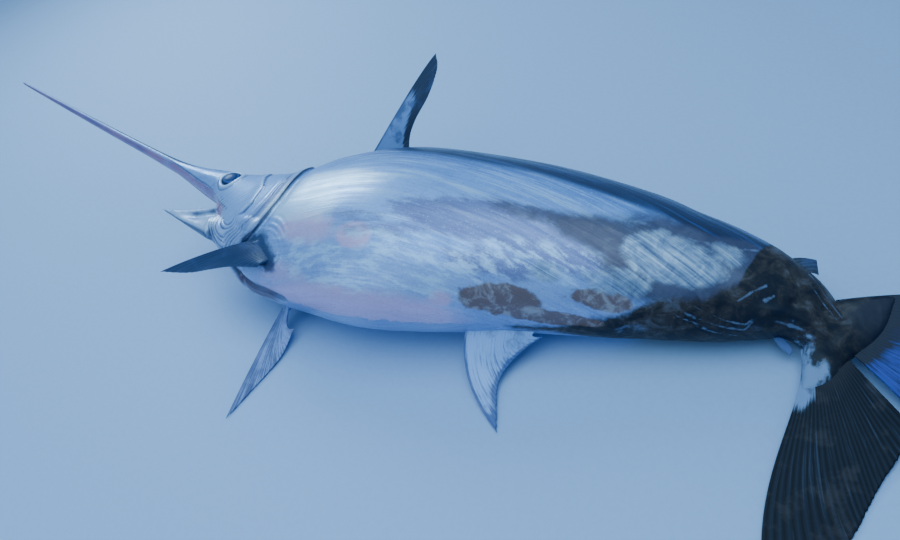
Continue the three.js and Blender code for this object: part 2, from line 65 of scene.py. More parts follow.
# Stations from the tip of the bill to the root of the tail: x, y, z of the middle, then the reach to
# the back, to the belly and to each side, and the roll in degrees.
STATIONS = [
    (-1362, 164, 328, 2.5, 2.5, 4, 0),
    (-1240, 141, 295, 5, 5, 8, 0),
    (-1060, 107, 247, 8, 8, 12, 0),
    (-884, 74, 202, 11, 11, 16, 0),
    (-790, 56, 176, 18, 15, 24, 0),
    (-720, 44, 158, 32, 25, 37, 0),
    (-655, 34, 147, 46, 40, 50, 0),
    (-590, 14, 140, 68, 76, 65, 0),
    (-515, -6, 135, 95, 134, 86, 0),
    (-428, -25, 132, 130, 175, 110, 0),
    (-370, -31, 131, 164, 181, 124, 0),
    (-308, -32, 134, 190, 188, 135, 1),
    (-205, -28, 140, 210, 202, 143, 2),
    (-97, -14, 138, 208, 199, 141, 4),
    (96, 12, 122, 181, 173, 124, 8),
    (282, 21, 104, 145, 141, 105, 14),
    (370, 20, 95, 121, 121, 96, 17),
    (446, 19, 84, 105, 102, 84, 20),
    (507, 17, 73, 87, 80, 72, 23),
    (558, 10, 62, 65, 58, 60, 25),
    (595, -8, 52, 49, 45, 46, 26),
    (622, -30, 46, 42, 42, 30, 27),
]
TAIL_ROOT = len(STATIONS) - 1
FLESH_NODES = (
    "bill", "head", "lower_jaw", "throat", "gill_cover_left", "gill_cover_right",
    "trunk_front", "trunk_middle", "trunk_rear", "tail_stalk",
)

# Edges and folds on the flank, as (angle round the body, place along it).
COVER_EDGE = [(32, 8.8), (50, 9.33), (76, 9.68), (94, 9.77), (103, 9.78), (113, 9.62), (120, 9.48),
              (127, 9.33), (136, 9.11), (150, 8.88), (160, 8.76), (168, 8.74)]
CHEEK_EDGE = [(40, 7.7), (60, 7.95), (71, 8.07), (93, 8.50), (107, 8.60), (117, 8.52), (122, 8.34)]
INNER_FOLD = [(60, 8.9), (80, 9.1), (100, 9.2), (115, 9.08), (128, 8.84)]
# The upper lip, as (place along the body, angle round it).
UPPER_LIP = [(3.4, 104), (3.8, 112), (4.3, 126), (5.1, 137), (5.9, 142), (6.6, 139), (7.2, 131),
             (7.6, 126)]
KEEL_LINE = [(17.6, 126), (18.4, 122), (19.2, 115), (19.9, 106), (20.5, 95), (21.0, 88)]
# Where the navy of the back ends, and where the dark worn rear begins, as places and angles.
BACK_EDGE = [(3.5, 60), (6.0, 40), (9.5, 28), (11.0, 42), (12.5, 60), (14.0, 64), (15.0, 67), (16.5, 70),
             (17.2, 56), (21.0, 50)]
REAR_EDGE = [(13.4, 192), (14.5, 172), (14.9, 160), (15.5, 142), (16.0, 132), (16.8, 122), (17.3, 104),
             (17.5, 66), (17.9, 12), (21.0, -30)]
# Patches of the left flank: place, angle, half length and half width in millimetres, and strength.
PATCHES = {
    "scraped": [(15.9, 97, 92, 54, 1.0), (15.0, 126, 75, 34, 0.7), (14.3, 128, 60, 24, 0.55),
                (16.9, 76, 40, 26, 0.7)],
    "bruise": [(13.95, 154, 90, 46, 1.0), (14.4, 164, 110, 26, 0.9), (14.85, 142, 74, 28, 0.8)],
    "mauve": [(13.7, 104, 190, 50, 1.0), (14.4, 106, 170, 64, 1.0), (12.6, 114, 110, 40, 0.5),
              (13.9, 128, 120, 36, 0.7)],
    "rosy": [(12.2, 176, 230, 92, 1.0), (11.3, 120, 80, 50, 0.7), (12.25, 122, 34, 32, 1.0),
             (13.41, 156, 26, 24, 1.0), (10.9, 158, 80, 60, 0.6)],
    # The shoulder's patches are a painted highlight behind the gill cover.
    "shoulder_highlight": [(10.9, 103, 110, 60, 1.0), (11.5, 84, 130, 30, 0.9)],
    "shade": [(16.3, 98, 190, 110, 1.0), (15.0, 94, 160, 44, 0.9), (14.2, 93, 130, 22, 0.6),
              (17.0, 80, 90, 60, 1.0)],
    "frost": [(12.9, 138, 260, 80, 1.0), (14.3, 122, 160, 50, 0.9), (11.6, 140, 130, 70, 0.8)],
}
# Pale scratches: width in millimetres, then places and angles.
SCRATCHES = [
    (2.4, [(15.90, 128), (16.47, 142), (17.17, 150), (17.84, 153), (18.09, 125), (18.92, 119),
           (19.67, 112), (20.6, 96)]),
    (1.7, [(15.98, 120), (16.6, 134), (17.3, 142), (17.8, 144), (18.2, 118), (19.0, 111), (19.8, 103)]),
    (1.3, [(15.7, 132), (16.3, 146), (16.9, 153)]),
    (3.4, [(14.5, 79), (15.28, 77), (16.31, 76), (17.02, 69), (17.5, 58)]),
    (1.6, [(16.6, 152), (17.1, 160), (17.7, 165)]),
    (4.0, [(18.7, 132), (19.3, 130), (20.1, 120)]),
    (3.2, [(18.1, 108), (18.3, 100)]),
    (2.4, [(17.4, 118), (17.7, 104), (18.0, 92)]),
    (1.8, [(12.6, 96), (13.6, 99), (14.6, 112)]),
    (1.6, [(13.0, 104), (14.0, 118), (14.8, 132)]),
    (1.4, [(12.2, 118), (13.2, 128), (14.0, 146)]),
    (2.6, [(18.94, 34), (19.59, 40), (20.69, 38)]),
    (1.6, [(19.0, 52), (19.8, 56), (20.7, 52)]),
]
EYE_PLACE = (6.58, 83.0)
# Flesh below the lower jaw: both ends of its middle line, then the radius at each in metres.
JAW_KEEL = ([(-786, -52, 146), (-604, -94, 148)], 0.003, 0.021)
NOSTRILS = ((5.42, 58), (5.62, 58))
# The gill slit below the throat, and the flesh that shows in it, as x, y, z.
GILL_SLIT = [(-436, -150, 207), (-462, -165, 185), (-480, -179, 159), (-454, -191, 154),
             (-436, -200, 149), (-411, -207, 139), (-382, -211, 137), (-358, -214, 134),
             (-340, -217, 130)]
GILL_FLESH = [(-452, -196, 138), (-429, -206, 127), (-405, -208, 117), (-377, -211, 118)]
# Windows: where a form starts and is in full, then where it starts to fade and is gone. The first
# ones are angles round the body, the next places along it, and the last metres from the form's line.
COVER_TURN = (26, 48, 150, 168)
COVER_LINE_TURN = (24, 40, 140, 160)
CHEEK_TURN = (36, 54, 117, 123)
FOLD_TURN = (58, 76, 120, 130)
TRUNK_PLACE = (10.2, 10.8, 17.2, 18.0)
SKIN_PLACE = (0.03, 0.12, 20.75, 20.95)
KEEL_PLACE = (17.3, 18.6, 20.7, 21.0)
LIP_PLACE = (3.2, 4.0, 7.35, 7.7)
LIP_LINE_PLACE = (3.2, 4.0, 7.3, 7.7)
PALATE_PLACE = (3.2, 3.8, 7.2, 7.6)
# The sheen's window is where the painted highlight streaks lie along the body.
SHEEN_PLACE = (9.6, 10.4, 14.5, 16.5)
COVER_LIFT = (-0.085, -0.006, -0.001, 0.005)
COVER_HOLLOW = (0.001, 0.006, 0.006, 0.03)
CHEEK_LIFT = (-0.04, -0.002, -0.001, 0.003)
THROAT_RING = (0.022, 0.032, 0.085, 0.11)
CREASE_RING = (0.03, 0.04, 0.062, 0.085)
# Small places on the skin, as a place along the body and an angle round it.
JAW_CORNER = (8.0, 122.0)
PECTORAL_FOOT = (10.05, 140.0)
TAIL_PIT = (18.98, 95.0)
# Heights and depths of the skin's small forms, in metres.
COVER_DIP = 0.002
CHEEK_RISE, CHEEK_GROOVE = 0.0022, 0.0012
FOLD_RISE, SECOND_FOLD_RISE = 0.0016, 0.0010
LIP_RISE, PALATE_DEPTH = 0.0013, 0.0020
KEEL_RISE = 0.008
EYE_RIM_RISE, EYE_RIM_GROOVE, SOCKET_DEPTH = 0.0024, 0.0016, 0.009
NOSTRIL_DEPTH, SLIT_DEPTH, FLESH_DEPTH, PIT_DEPTH = 0.0025, 0.008, 0.002, 0.004
CREASE_RISE, CREASE_SPACING = 0.0008, 0.012
THROAT_FOLD_SPACING = 0.0118
# Radii round the middle of the eye, in metres: its rim, the groove outside it, the socket's wall.
EYE_RIM, EYE_RIM_OUTSIDE, SOCKET_WALL = 0.0285, 0.037, (0.0215, 0.0265)
# Core of the tail's root: stations before the root, half length in metres, share of the stalk's size.
TAIL_CORE_BACK, TAIL_CORE_LENGTH, TAIL_CORE_SHARE = 0.05, 0.046, 0.96
# Swelling that closes the gaps between the solids, and the least height of a fin over the floor.
SOLID_SWELL = 0.0005
FLOOR_GAP = 0.0002
# How far from the smooth lines a point is still drawn to them, in metres, and how much less of it
# counts below the jaw.
SNAP_REACH, SNAP_REACH_LOST_BELOW = 0.0095, 0.0065
# Step over which the slope of a fin's surface is measured, as a share of its width and length.
SLOPE_STEP = 1e-3


def drawn(points):
    """Points of the part's drawing, in metres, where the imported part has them."""
    return np.atleast_2d(np.asarray(points, float)) * MM + SHIFT


def read_through(rows, places):
    """Reads a smooth line that passes through the rows, at places counted in rows."""
    rows = np.asarray(rows, float)
    last = len(rows) - 1
    t = np.clip(places, 0, last)
    i = np.minimum(t.astype(int), last - 1)
    w = (t - i)[:, None]
    padded = np.vstack([2 * rows[0] - rows[1], rows, 2 * rows[-1] - rows[-2]])
    p0, p1, p2, p3 = padded[i], padded[i + 1], padded[i + 2], padded[i + 3]
    m0, m1 = (p2 - p0) / 2, (p3 - p1) / 2
    return (2 * p1 - 2 * p2 + m0 + m1) * w**3 + (3 * p2 - 3 * p1 - 2 * m0 - m1) * w**2 + m0 * w + p1


def soft_step(low, high, x):
    """Rises from 0 at low to 1 at high, or falls where high is the lower of the two."""
    t = np.clip((x - low) / (high - low), 0, 1)
    return t * t * (3 - 2 * t)


def window(x, rise, full, fade, end):
    """Rises from 0 to 1 between the first two places and falls back between the last two."""
    return soft_step(rise, full, x) * (1 - soft_step(fade, end, x))


def hump(x, width):
    return np.exp(-((x / width) ** 2))


def unit(rows):
    return rows / np.maximum(np.linalg.norm(rows, axis=-1, keepdims=True), 1e-12)


class BodyLines:
    """The smooth lines of the body, which turn a point into its place along and round the fish."""

    def __init__(self, stations, samples=4200):
        self.places = np.linspace(0, len(stations) - 1, samples + 1)
        rows = read_through(stations, self.places)
        self.middle = rows[:, :3] * MM + SHIFT
        self.size = rows[:, 3:6] * MM
        slope = np.gradient(self.middle, self.places, axis=0)
        self.per_station = np.linalg.norm(slope, axis=1)
        self.along = unit(slope)
        flat_back = unit(np.cross([0.0, 0.0, 1.0], self.along))
        flat_side = np.cross(self.along, flat_back)
        roll = np.radians(rows[:, 6])[:, None]
        self.back = flat_back * np.cos(roll) + flat_side * np.sin(roll)
        self.side = flat_side * np.cos(roll) - flat_back * np.sin(roll)
        step = np.linalg.norm(np.diff(self.middle, axis=0), axis=1)
        self.length = np.concatenate([[0.0], np.cumsum(step)])

    def read(self, table, at):
        if table.ndim == 1:
            return np.interp(at, self.places, table)
        return np.stack([np.interp(at, self.places, column) for column in table.T], axis=1)

    def place(self, points):
        """Place along the body, angle round it and share of the way from its middle to its skin."""
        at = np.interp(points[:, 0], self.middle[:, 0], self.places)
        for _ in range(8):
            off = ((points - self.read(self.middle, at)) * self.read(self.along, at)).sum(axis=1)
            at = np.clip(at + 0.8 * off / self.read(self.per_station, at), 0, self.places[-1])
        arm = points - self.read(self.middle, at)
        size = self.read(self.size, at)
        out = (arm * self.read(self.back, at)).sum(axis=1)
        aside = (arm * self.read(self.side, at)).sum(axis=1)
        c = out / np.where(out > 0, size[:, 0], size[:, 1])
        s = aside / size[:, 2]
        return at, np.degrees(np.arctan2(s, c)), np.hypot(c, s)

    def skin(self, at, angle, grow=0.0):
        """Points of the smooth skin."""
        at = np.atleast_1d(np.asarray(at, float))
        turn = np.radians(np.atleast_1d(np.asarray(angle, float)))
        c, s = np.cos(turn), np.sin(turn)
        size = self.read(self.size, at)
        depth = np.where(c > 0, size[:, 0], size[:, 1]) + grow
        points = self.read(self.middle, at)
        points = points + self.read(self.back, at) * (depth * c)[:, None]
        return points + self.read(self.side, at) * ((size[:, 2] + grow) * s)[:, None]

    def off(self, at, angle, along, out):
        """A point stated from a place on the skin, as the part's source states it, in millimetres."""
        at = np.atleast_1d(float(at))
        turn = math.radians(angle)
        outward = self.read(self.back, at) * math.cos(turn) + self.read(self.side, at) * math.sin(turn)
        move = self.read(self.along, at) * along + outward * out
        return (self.skin(at, angle) + move * MM)[0]


BODY = BodyLines(STATIONS)
ROOT_SINK = -8


def tail_point(along, out):
    root = np.array([float(TAIL_ROOT)])
    middle = BODY.read(BODY.middle, root)[0]
    return middle + (BODY.read(BODY.along, root)[0] * along + BODY.read(BODY.back, root)[0] * out) * MM


def from_skin(*rows):
    return np.array([BODY.off(*row) for row in rows])


# Every fin from its base line through its bends to its margin, as the part's source has them.
FIN_LINES = {
    "dorsal_fin": [
        from_skin((10.1, 0, 0, ROOT_SINK), (10.75, 0, 0, ROOT_SINK), (11.4, 0, 0, ROOT_SINK)),
        drawn([(-250, 318, 280), (-262, 238, 205), (-258, 198, 158)]),
        drawn([(-182, 312, 342), (-177, 292, 318), (-198, 264, 272), (-232, 238, 225), (-248, 216, 186),
               (-238, 176, 146)]),
    ],
    "second_dorsal_fin": [
        from_skin((18.3, 0, 0, ROOT_SINK), (18.8, 0, 0, ROOT_SINK)),
        from_skin((18.3, 0, 10, 8), (18.8, 0, 8, 3)),
        from_skin((18.3, 0, 44, 11), (18.3, 0, 46, 7), (18.8, 0, 22, 1)),
    ],
    "anal_fin": [
        drawn([(30, -165, 84), (92, -156, 80), (152, -142, 74)]),
        drawn([(14, -232, 4), (78, -186, 44), (140, -152, 62)]),
        drawn([(134, -318, 4), (112, -262, 7), (102, -222, 14), (116, -184, 28), (140, -158, 46),
               (166, -142, 62)]),
    ],
    "second_anal_fin": [
        from_skin((18.8, 180, 0, ROOT_SINK), (19.4, 180, 0, ROOT_SINK)),
        from_skin((18.8, 180, 10, 8), (19.4, 180, 6, 3)),
        drawn([(566, -58, 24), (568, -51, 28), (560, -42, 33)]),
    ],
    "pectoral_fin_left": [
        from_skin((9.72, 133, 0, ROOT_SINK), (10.35, 147, 0, ROOT_SINK)),
        drawn([(-465, -187, 230), (-368, -202, 214)]),
        drawn([(-672, -212, 134), (-592, -206, 141), (-535, -196, 152), (-460, -198, 178),
               (-374, -204, 200)]),
    ],
    "pectoral_fin_right": [
        from_skin((9.6, -128, 0, ROOT_SINK), (9.95, -146, 0, ROOT_SINK)),
        drawn([(-430, -236, 12), (-384, -232, 22)]),
        drawn([(-400, -432, 3), (-382, -350, 4), (-366, -275, 8), (-362, -212, 28)]),
    ],
    "caudal_lobe_upper": [
        np.array([tail_point(-42, 50), tail_point(-12, 28), tail_point(2, 2.3)]),
        np.array([tail_point(52, 188), tail_point(95, 97), tail_point(90, 14)]),
        np.array([tail_point(298, 385), tail_point(292, 300), tail_point(272, 215), tail_point(243, 138),
                  tail_point(212, 70), tail_point(170, 5)]),
    ],
    "caudal_lobe_lower": [
        np.array([tail_point(-16, -46), tail_point(-4, -26), tail_point(2, -2.3)]),
        drawn([(612, -150, 15), (640, -128, 24), (664, -70, 33)]),
        drawn([(525, -300, 3), (672, -225, 5), (708, -108, 22)]),
        drawn([(602, -485, 3), (650, -420, 3), (686, -343, 3), (702, -292, 3), (716, -245, 5),
               (736, -195, 9), (748, -142, 14)]),
    ],
}
# Flesh that carries each fin: share of the rays that it reaches, and its thickness at both ends.
FIN_ROOTS = {
    "dorsal_fin": (0.09, 20, 6.0),
    "second_dorsal_fin": (0.3, 9, 3.6),
    "anal_fin": (0.14, 20, 6.0),
    "second_anal_fin": (0.3, 9, 3.6),
    "pectoral_fin_left": (0.2, 36, 8.0),
    "pectoral_fin_right": (0.22, 36, 9.0),
    "caudal_lobe_upper": (0.25, 58, 10.0),
    "caudal_lobe_lower": (0.24, 58, 10.0),
}


def bent_ray(points, v):
    while len(points) > 1:
        points = [a + (b - a) * v for a, b in zip(points, points[1:])]
    return points[0]


def fin_sheet(lines, u, v):
    """Middle surface of a fin: u runs along its base and v out along its rays."""
    read = [read_through(line, u * (len(line) - 1)) for line in lines]
    return bent_ray(read, v[:, None])


def closed_sheet(lines, rows, columns, half_at, reach_at):
    """A sheet with a thickness, closed round its rim, and the u and v of each of its vertices."""
    bm = bmesh.new()
    bmesh.ops.create_grid(bm, x_segments=rows, y_segments=columns, size=0.5)
    grid = np.array([v.co for v in bm.verts])
    u, v = grid[:, 0] + 0.5, grid[:, 1] + 0.5
    reach = reach_at(u, v)
    middle = fin_sheet(lines, u, reach)
    before, after = np.clip(u - SLOPE_STEP, 0, 1), np.clip(u + SLOPE_STEP, 0, 1)
    across = fin_sheet(lines, after, reach) - fin_sheet(lines, before, reach)
    out = fin_sheet(lines, u, reach + SLOPE_STEP) - fin_sheet(lines, u, reach - SLOPE_STEP)
    normal = unit(np.cross(across, out))
    half = half_at(u, v) * MM
    middle[:, 2] = np.maximum(middle[:, 2], half * np.abs(normal[:, 2]) + FLOOR_GAP)
    for vert, point in zip(bm.verts, middle):
        vert.co = point
    upper = list(bm.verts)
    made = bmesh.ops.duplicate(bm, geom=bm.verts[:] + bm.edges[:] + bm.faces[:])
    lower_of = {a: b for a, b in made["vert_map"].items() if isinstance(a, bmesh.types.BMVert)}
    for i, vert in enumerate(upper):
        move = Vector(normal[i] * half[i])
        lower_of[vert].co -= move
        vert.co += move
    lower_faces = [f for f in made["geom"] if isinstance(f, bmesh.types.BMFace)]
    bmesh.ops.reverse_faces(bm, faces=lower_faces)
    bmesh.ops.bridge_loops(bm, edges=[e for e in bm.edges if len(e.link_faces) == 1])
    bmesh.ops.recalc_face_normals(bm, faces=bm.faces)
    bm.verts.index_update()
    index = np.zeros(len(bm.verts), int)
    for i, vert in enumerate(upper):
        index[vert.index] = i
        index[lower_of[vert].index] = i
    return bm, u[index], v[index]


def line_distance(points, line):
    """Distance of each point from a line through space, and the share of the line where it is met."""
    best = np.full(len(points), 1e9)
    share = np.zeros(len(points))
    for i in range(len(line) - 1):
        a, b = line[i], line[i + 1]
        t = np.clip(((points - a) @ (b - a)) / ((b - a) @ (b - a)), 0, 1)
        gap = np.linalg.norm(points - a - t[:, None] * (b - a), axis=1)
        nearer = gap < best
        best[nearer] = gap[nearer]
        share[nearer] = ((i + t) / (len(line) - 1))[nearer]
    return best, share


# Meshes and their numbers


def coordinates(mesh):
    co = np.empty(len(mesh.vertices) * 3)
    mesh.vertices.foreach_get("co", co)
    return co.reshape(-1, 3)


def set_coordinates(mesh, co):
    mesh.vertices.foreach_set("co", np.ascontiguousarray(co, np.float32).ravel())
    mesh.update()


def normals(mesh):
    rows = np.empty(len(mesh.vertices) * 3, np.float32)
    mesh.vertex_normals.foreach_get("vector", rows)
    return rows.reshape(-1, 3).astype(float)


def edges_of(mesh):
    rows = np.empty(len(mesh.edges) * 2, np.int32)
    mesh.edges.foreach_get("vertices", rows)
    return rows.reshape(-1, 2)


def smoothed(co, edges, rounds, share):
    """Moves each vertex towards the middle of its neighbours, by its own share each round."""
    count = len(co)
    degree = np.bincount(edges.ravel(), minlength=count)[:, None]
    for _ in range(rounds):
        total = np.empty_like(co)
        for k in range(3):
            total[:, k] = np.bincount(edges[:, 0], co[edges[:, 1], k], count)
            total[:, k] += np.bincount(edges[:, 1], co[edges[:, 0], k], count)
        co = co + (total / degree - co) * share
    return co


def keep_attribute(mesh, name, values):
    layer = mesh.attributes.get(name) or mesh.attributes.new(name, "FLOAT", "POINT")
    layer.data.foreach_set("value", np.ascontiguousarray(values, np.float32))


def keep_vector(mesh, name, rows):
    layer = mesh.attributes.get(name) or mesh.attributes.new(name, "FLOAT_VECTOR", "POINT")
    layer.data.foreach_set("vector", np.ascontiguousarray(rows, np.float32).ravel())


def new_piece(name, mesh):
    obj = bpy.data.objects.new(name, mesh)
    bpy.context.scene.collection.objects.link(obj)
    return obj


def shade_smooth(mesh):
    mesh.polygons.foreach_set("use_smooth", [True] * len(mesh.polygons))
    mesh.update()


def with_modifier_applied(mesh, kind, prepare=None, **values):
    """Runs one modifier over a mesh and gives the mesh that comes out."""
    holder = new_piece("work", mesh)
    if prepare:
        prepare(holder)
    modifier = holder.modifiers.new("work", kind)
    for key, value in values.items():
        setattr(modifier, key, value)
    depsgraph = bpy.context.evaluated_depsgraph_get()
    result = bpy.data.meshes.new_from_object(holder.evaluated_get(depsgraph))
    bpy.data.objects.remove(holder)
    bpy.data.meshes.remove(mesh)
    return result


# Nodes of a material


class Sheet:
    """Lays the nodes of one material or group, from left to right."""

    def __init__(self, tree):
        self.tree = tree
        self.count = 0

    def add(self, kind, **settings):
        node = self.tree.nodes.new(kind)
        for key, value in settings.items():
            setattr(node, key, value)
        node.location = (self.count // 6 * 220, -(self.count % 6) * 190)
        self.count += 1
        return node

    def feed(self, socket, value):
        if isinstance(value, bpy.types.NodeSocket):
            self.tree.links.new(value, socket)
        elif value is not None:
            socket.default_value = value

    def attribute(self, name, output="Fac"):
        return self.add("ShaderNodeAttribute", attribute_name=name).outputs[output]

    def place(self):
        return self.add("ShaderNodeTexCoord").outputs["Object"]

    def math(self, operation, a, b):
        node = self.add("ShaderNodeMath", operation=operation)
        self.feed(node.inputs[0], a)
        self.feed(node.inputs[1], b)
        return node.outputs[0]

    def plus(self, a, b):
        return self.math("ADD", a, b)

    def minus(self, a, b):
        return self.math("SUBTRACT", a, b)

    def times(self, a, b):
        return self.math("MULTIPLY", a, b)

    def swing(self, value, size):
        """Turns a value from 0 to 1 into a push of that size, which is none where the value is half."""
        return self.times(self.minus(value, 0.5), size)

    def span(self, value, low, high, to_low=0.0, to_high=1.0):
        node = self.add("ShaderNodeMapRange", interpolation_type="SMOOTHSTEP")
        for socket, number in zip(node.inputs, (value, low, high, to_low, to_high)):
            self.feed(socket, number)
        return node.outputs[0]

    def noise(self, vector, scale, detail=4.0, roughness=0.55, distortion=0.0):
        node = self.add("ShaderNodeTexNoise")
        for key, value in (("Vector", vector), ("Scale", scale), ("Detail", detail),
                           ("Roughness", roughness), ("Distortion", distortion)):
            self.feed(node.inputs[key], value)
        return node.outputs["Fac"]

    def stretch(self, vector, scale):
        node = self.add("ShaderNodeMapping")
        self.feed(node.inputs["Vector"], vector)
        node.inputs["Scale"].default_value = scale
        return node.outputs["Vector"]

    def ramp(self, value, stops):
        node = self.add("ShaderNodeValToRGB")
        self.feed(node.inputs[0], value)
        elements = node.color_ramp.elements
        while len(elements) < len(stops):
            elements.new(0.5)
        for element, (position, colour) in zip(elements, stops):
            element.position = position
            element.color = (*linear(colour), 1.0)
        return node.outputs["Color"]

    def mix(self, share, a, b):
        node = self.add("ShaderNodeMix", data_type="RGBA")
        self.feed(node.inputs["Factor"], share)
        for socket, value in ((node.inputs[6], a), (node.inputs[7], b)):
            self.feed(socket, (*linear(value), 1.0) if isinstance(value, tuple) else value)
        return node.outputs[2]

    def group(self, tree, **values):
        node = self.add("ShaderNodeGroup", node_tree=tree)
        for key, value in values.items():
            self.feed(node.inputs[key], value)
        return node.outputs


def linear(colour):
    """A colour named from 0 to 255 as a screen shows it, in the light values that shaders use."""
    shares = [c / 255 for c in colour]
    return tuple(s / 12.92 if s <= 0.04045 else ((s + 0.055) / 1.055) ** 2.4 for s in shares)


def new_group(name, inputs, outputs):
    tree = bpy.data.node_groups.new(name, "ShaderNodeTree")
    for label, kind, value in inputs:
        socket = tree.interface.new_socket(name=label, in_out="INPUT", socket_type=kind)
        if value is not None:
            socket.default_value = value
    for label, kind in outputs:
        tree.interface.new_socket(name=label, in_out="OUTPUT", socket_type=kind)
    sheet = Sheet(tree)
    return tree, sheet, sheet.add("NodeGroupInput").outputs, sheet.add("NodeGroupOutput").inputs


def broken_edge_group():
    """Breaks the clean edge of a painted mask into the ragged edge of a mark on skin."""
    name = "Ragged mark"
    if name in bpy.data.node_groups:
        return bpy.data.node_groups[name]
    tree, sheet, given, out = new_group(
        name,
        [("Mask", "NodeSocketFloat", 0.0), ("Vector", "NodeSocketVector", None),
         ("Scale", "NodeSocketFloat", 30.0), ("Raggedness", "NodeSocketFloat", 0.6),
         ("Softness", "NodeSocketFloat", 0.1)],
        [("Mark", "NodeSocketFloat")],
    )
    rough = sheet.noise(given["Vector"], given["Scale"], 7.0, 0.66, 0.4)
    push = sheet.swing(rough, given["Raggedness"])
    pushed = sheet.plus(given["Mask"], sheet.times(push, 2.0))
    lower = sheet.minus(0.5, given["Softness"])
    shown = sheet.span(pushed, lower, sheet.plus(0.5, given["Softness"]))
    present = sheet.span(given["Mask"], 0.02, 0.12)
    sheet.feed(out["Mark"], sheet.times(shown, present))
    return tree


def wet_skin_group():
    """Fine lengthwise streaks, faint blotches and the height of the skin's grain."""
    name = "Wet skin grain"
    if name in bpy.data.node_groups:
        return bpy.data.node_groups[name]
    tree, sheet, given, out = new_group(
        name,
        [("Chart", "NodeSocketVector", None), ("Object", "NodeSocketVector", None)],
        [("Streak", "NodeSocketFloat"), ("Blotch", "NodeSocketFloat"), ("Height", "NodeSocketFloat")],
    )
    broad = sheet.noise(sheet.stretch(given["Chart"], BROAD_STREAKS), 1.0, 5.0, 0.6, 0.5)
    fine = sheet.noise(sheet.stretch(given["Chart"], FINE_STREAKS), 1.0, 3.0, 0.6, 0.3)
    streak = sheet.plus(sheet.times(broad, 0.65), sheet.times(fine, 0.35))
    sheet.feed(out["Streak"], streak)
    sheet.feed(out["Blotch"], sheet.noise(given["Object"], 9.0, 5.0, 0.6, 0.4))
    pores = sheet.noise(given["Object"], 420.0, 2.0, 0.5)
    sheet.feed(out["Height"], sheet.plus(streak, sheet.times(pores, 0.25)))
    return tree


def new_material(name):
    material = bpy.data.materials.new(name)
    material.use_nodes = True
    sheet = Sheet(material.node_tree)
    shader = material.node_tree.nodes["Principled BSDF"]
    return material, sheet, shader


def bump(sheet, shader, height, strength, distance):
    node = sheet.add("ShaderNodeBump")
    node.inputs["Strength"].default_value = strength
    node.inputs["Distance"].default_value = distance
    sheet.feed(node.inputs["Height"], height)
    sheet.feed(shader.inputs["Normal"], node.outputs["Normal"])


# Scales along and round the body, in steps for each metre of the skin's chart.
BROAD_STREAKS = (5.0, 95.0, 1.0)
FINE_STREAKS = (14.0, 340.0, 1.0)
MAUVE_STREAKS = (16.0, 46.0, 1.0)
FROST_STREAKS = (20.0, 44.0, 1.0)
# How the edge of each mark on the skin breaks up: scale of its noise, raggedness and softness.
MARK_EDGES = {
    "rosy": (14.0, 0.5, 0.32),
    "mauve": (1.0, 1.0, 0.3),
    "frost": (9.0, 0.9, 0.34),
    "shoulder_highlight": (20.0, 0.6, 0.3),
    "shade": (11.0, 0.7, 0.34),
    "worn_rear": (12.0, 0.9, 0.24),
    "bruise": (20.0, 0.75, 0.12),
    "scraped": (15.0, 0.95, 0.24),
    "tail_scrape": (34.0, 1.1, 0.2),
    "fin_foot": (40.0, 0.5, 0.3),
}
# Colours of the skin as a screen shows them, from 0 to 255. The three ramps are read from the back
# to the belly, over the noise of the worn rear, and over the noise of the scraped patch.
FLANK_TONES = [
    (0.0, (40, 62, 112)), (0.3, (66, 98, 162)), (0.42, (128, 170, 228)), (0.52, (146, 182, 234)),
    (0.66, (138, 174, 226)), (0.82, (150, 174, 222)), (1.0, (150, 166, 212)),
]
REAR_TONES = [
    (0.38, (18, 25, 40)), (0.46, (36, 35, 42)), (0.53, (64, 55, 54)), (0.60, (92, 88, 94)),
    (0.66, (46, 58, 88)),
]
SCRAPED_TONES = [(0.4, (88, 102, 132)), (0.5, (132, 152, 178)), (0.6, (182, 198, 214))]
TONES = {
    "cloud": (88, 120, 184),
    "dim streak": (70, 96, 158),
    "mauve": (100, 90, 138),
    "frost": (190, 226, 255),
    "pale speck": (196, 222, 250),
    "dark speck": (60, 78, 124),
    # Painted highlight on the shoulder.
    "shoulder_highlight": (206, 236, 255),
    "dusk": (74, 64, 92),
    "navy streak": (44, 68, 124),
    "dark bruise": (122, 86, 74),
    "pale bruise": (166, 150, 152),
    "tail scrape": (136, 160, 196),
    "upper root": (12, 18, 40),
    "scratch": (122, 138, 168),
    "bill top": (30, 40, 72),
    "mouth pink": (182, 122, 158),
    "mouth mauve": (138, 100, 150),
    "cover grey": (104, 102, 146),
    # Painted highlights on the head's raised edges and fold crests, with pale eye rims and jaw side.
    "light": (210, 230, 252),
    # Painted shade in the head's grooves, folds and eye sockets.
    "fold": (40, 58, 108),
    # Painted shade under the gill cover's raised edge.
    "cover edge shade": (22, 28, 56),
    "flesh": (92, 26, 50),
    # Painted shade in the gill slit and the nostrils.
    "slit": (26, 14, 34),
    "fin foot": (34, 50, 88),
}


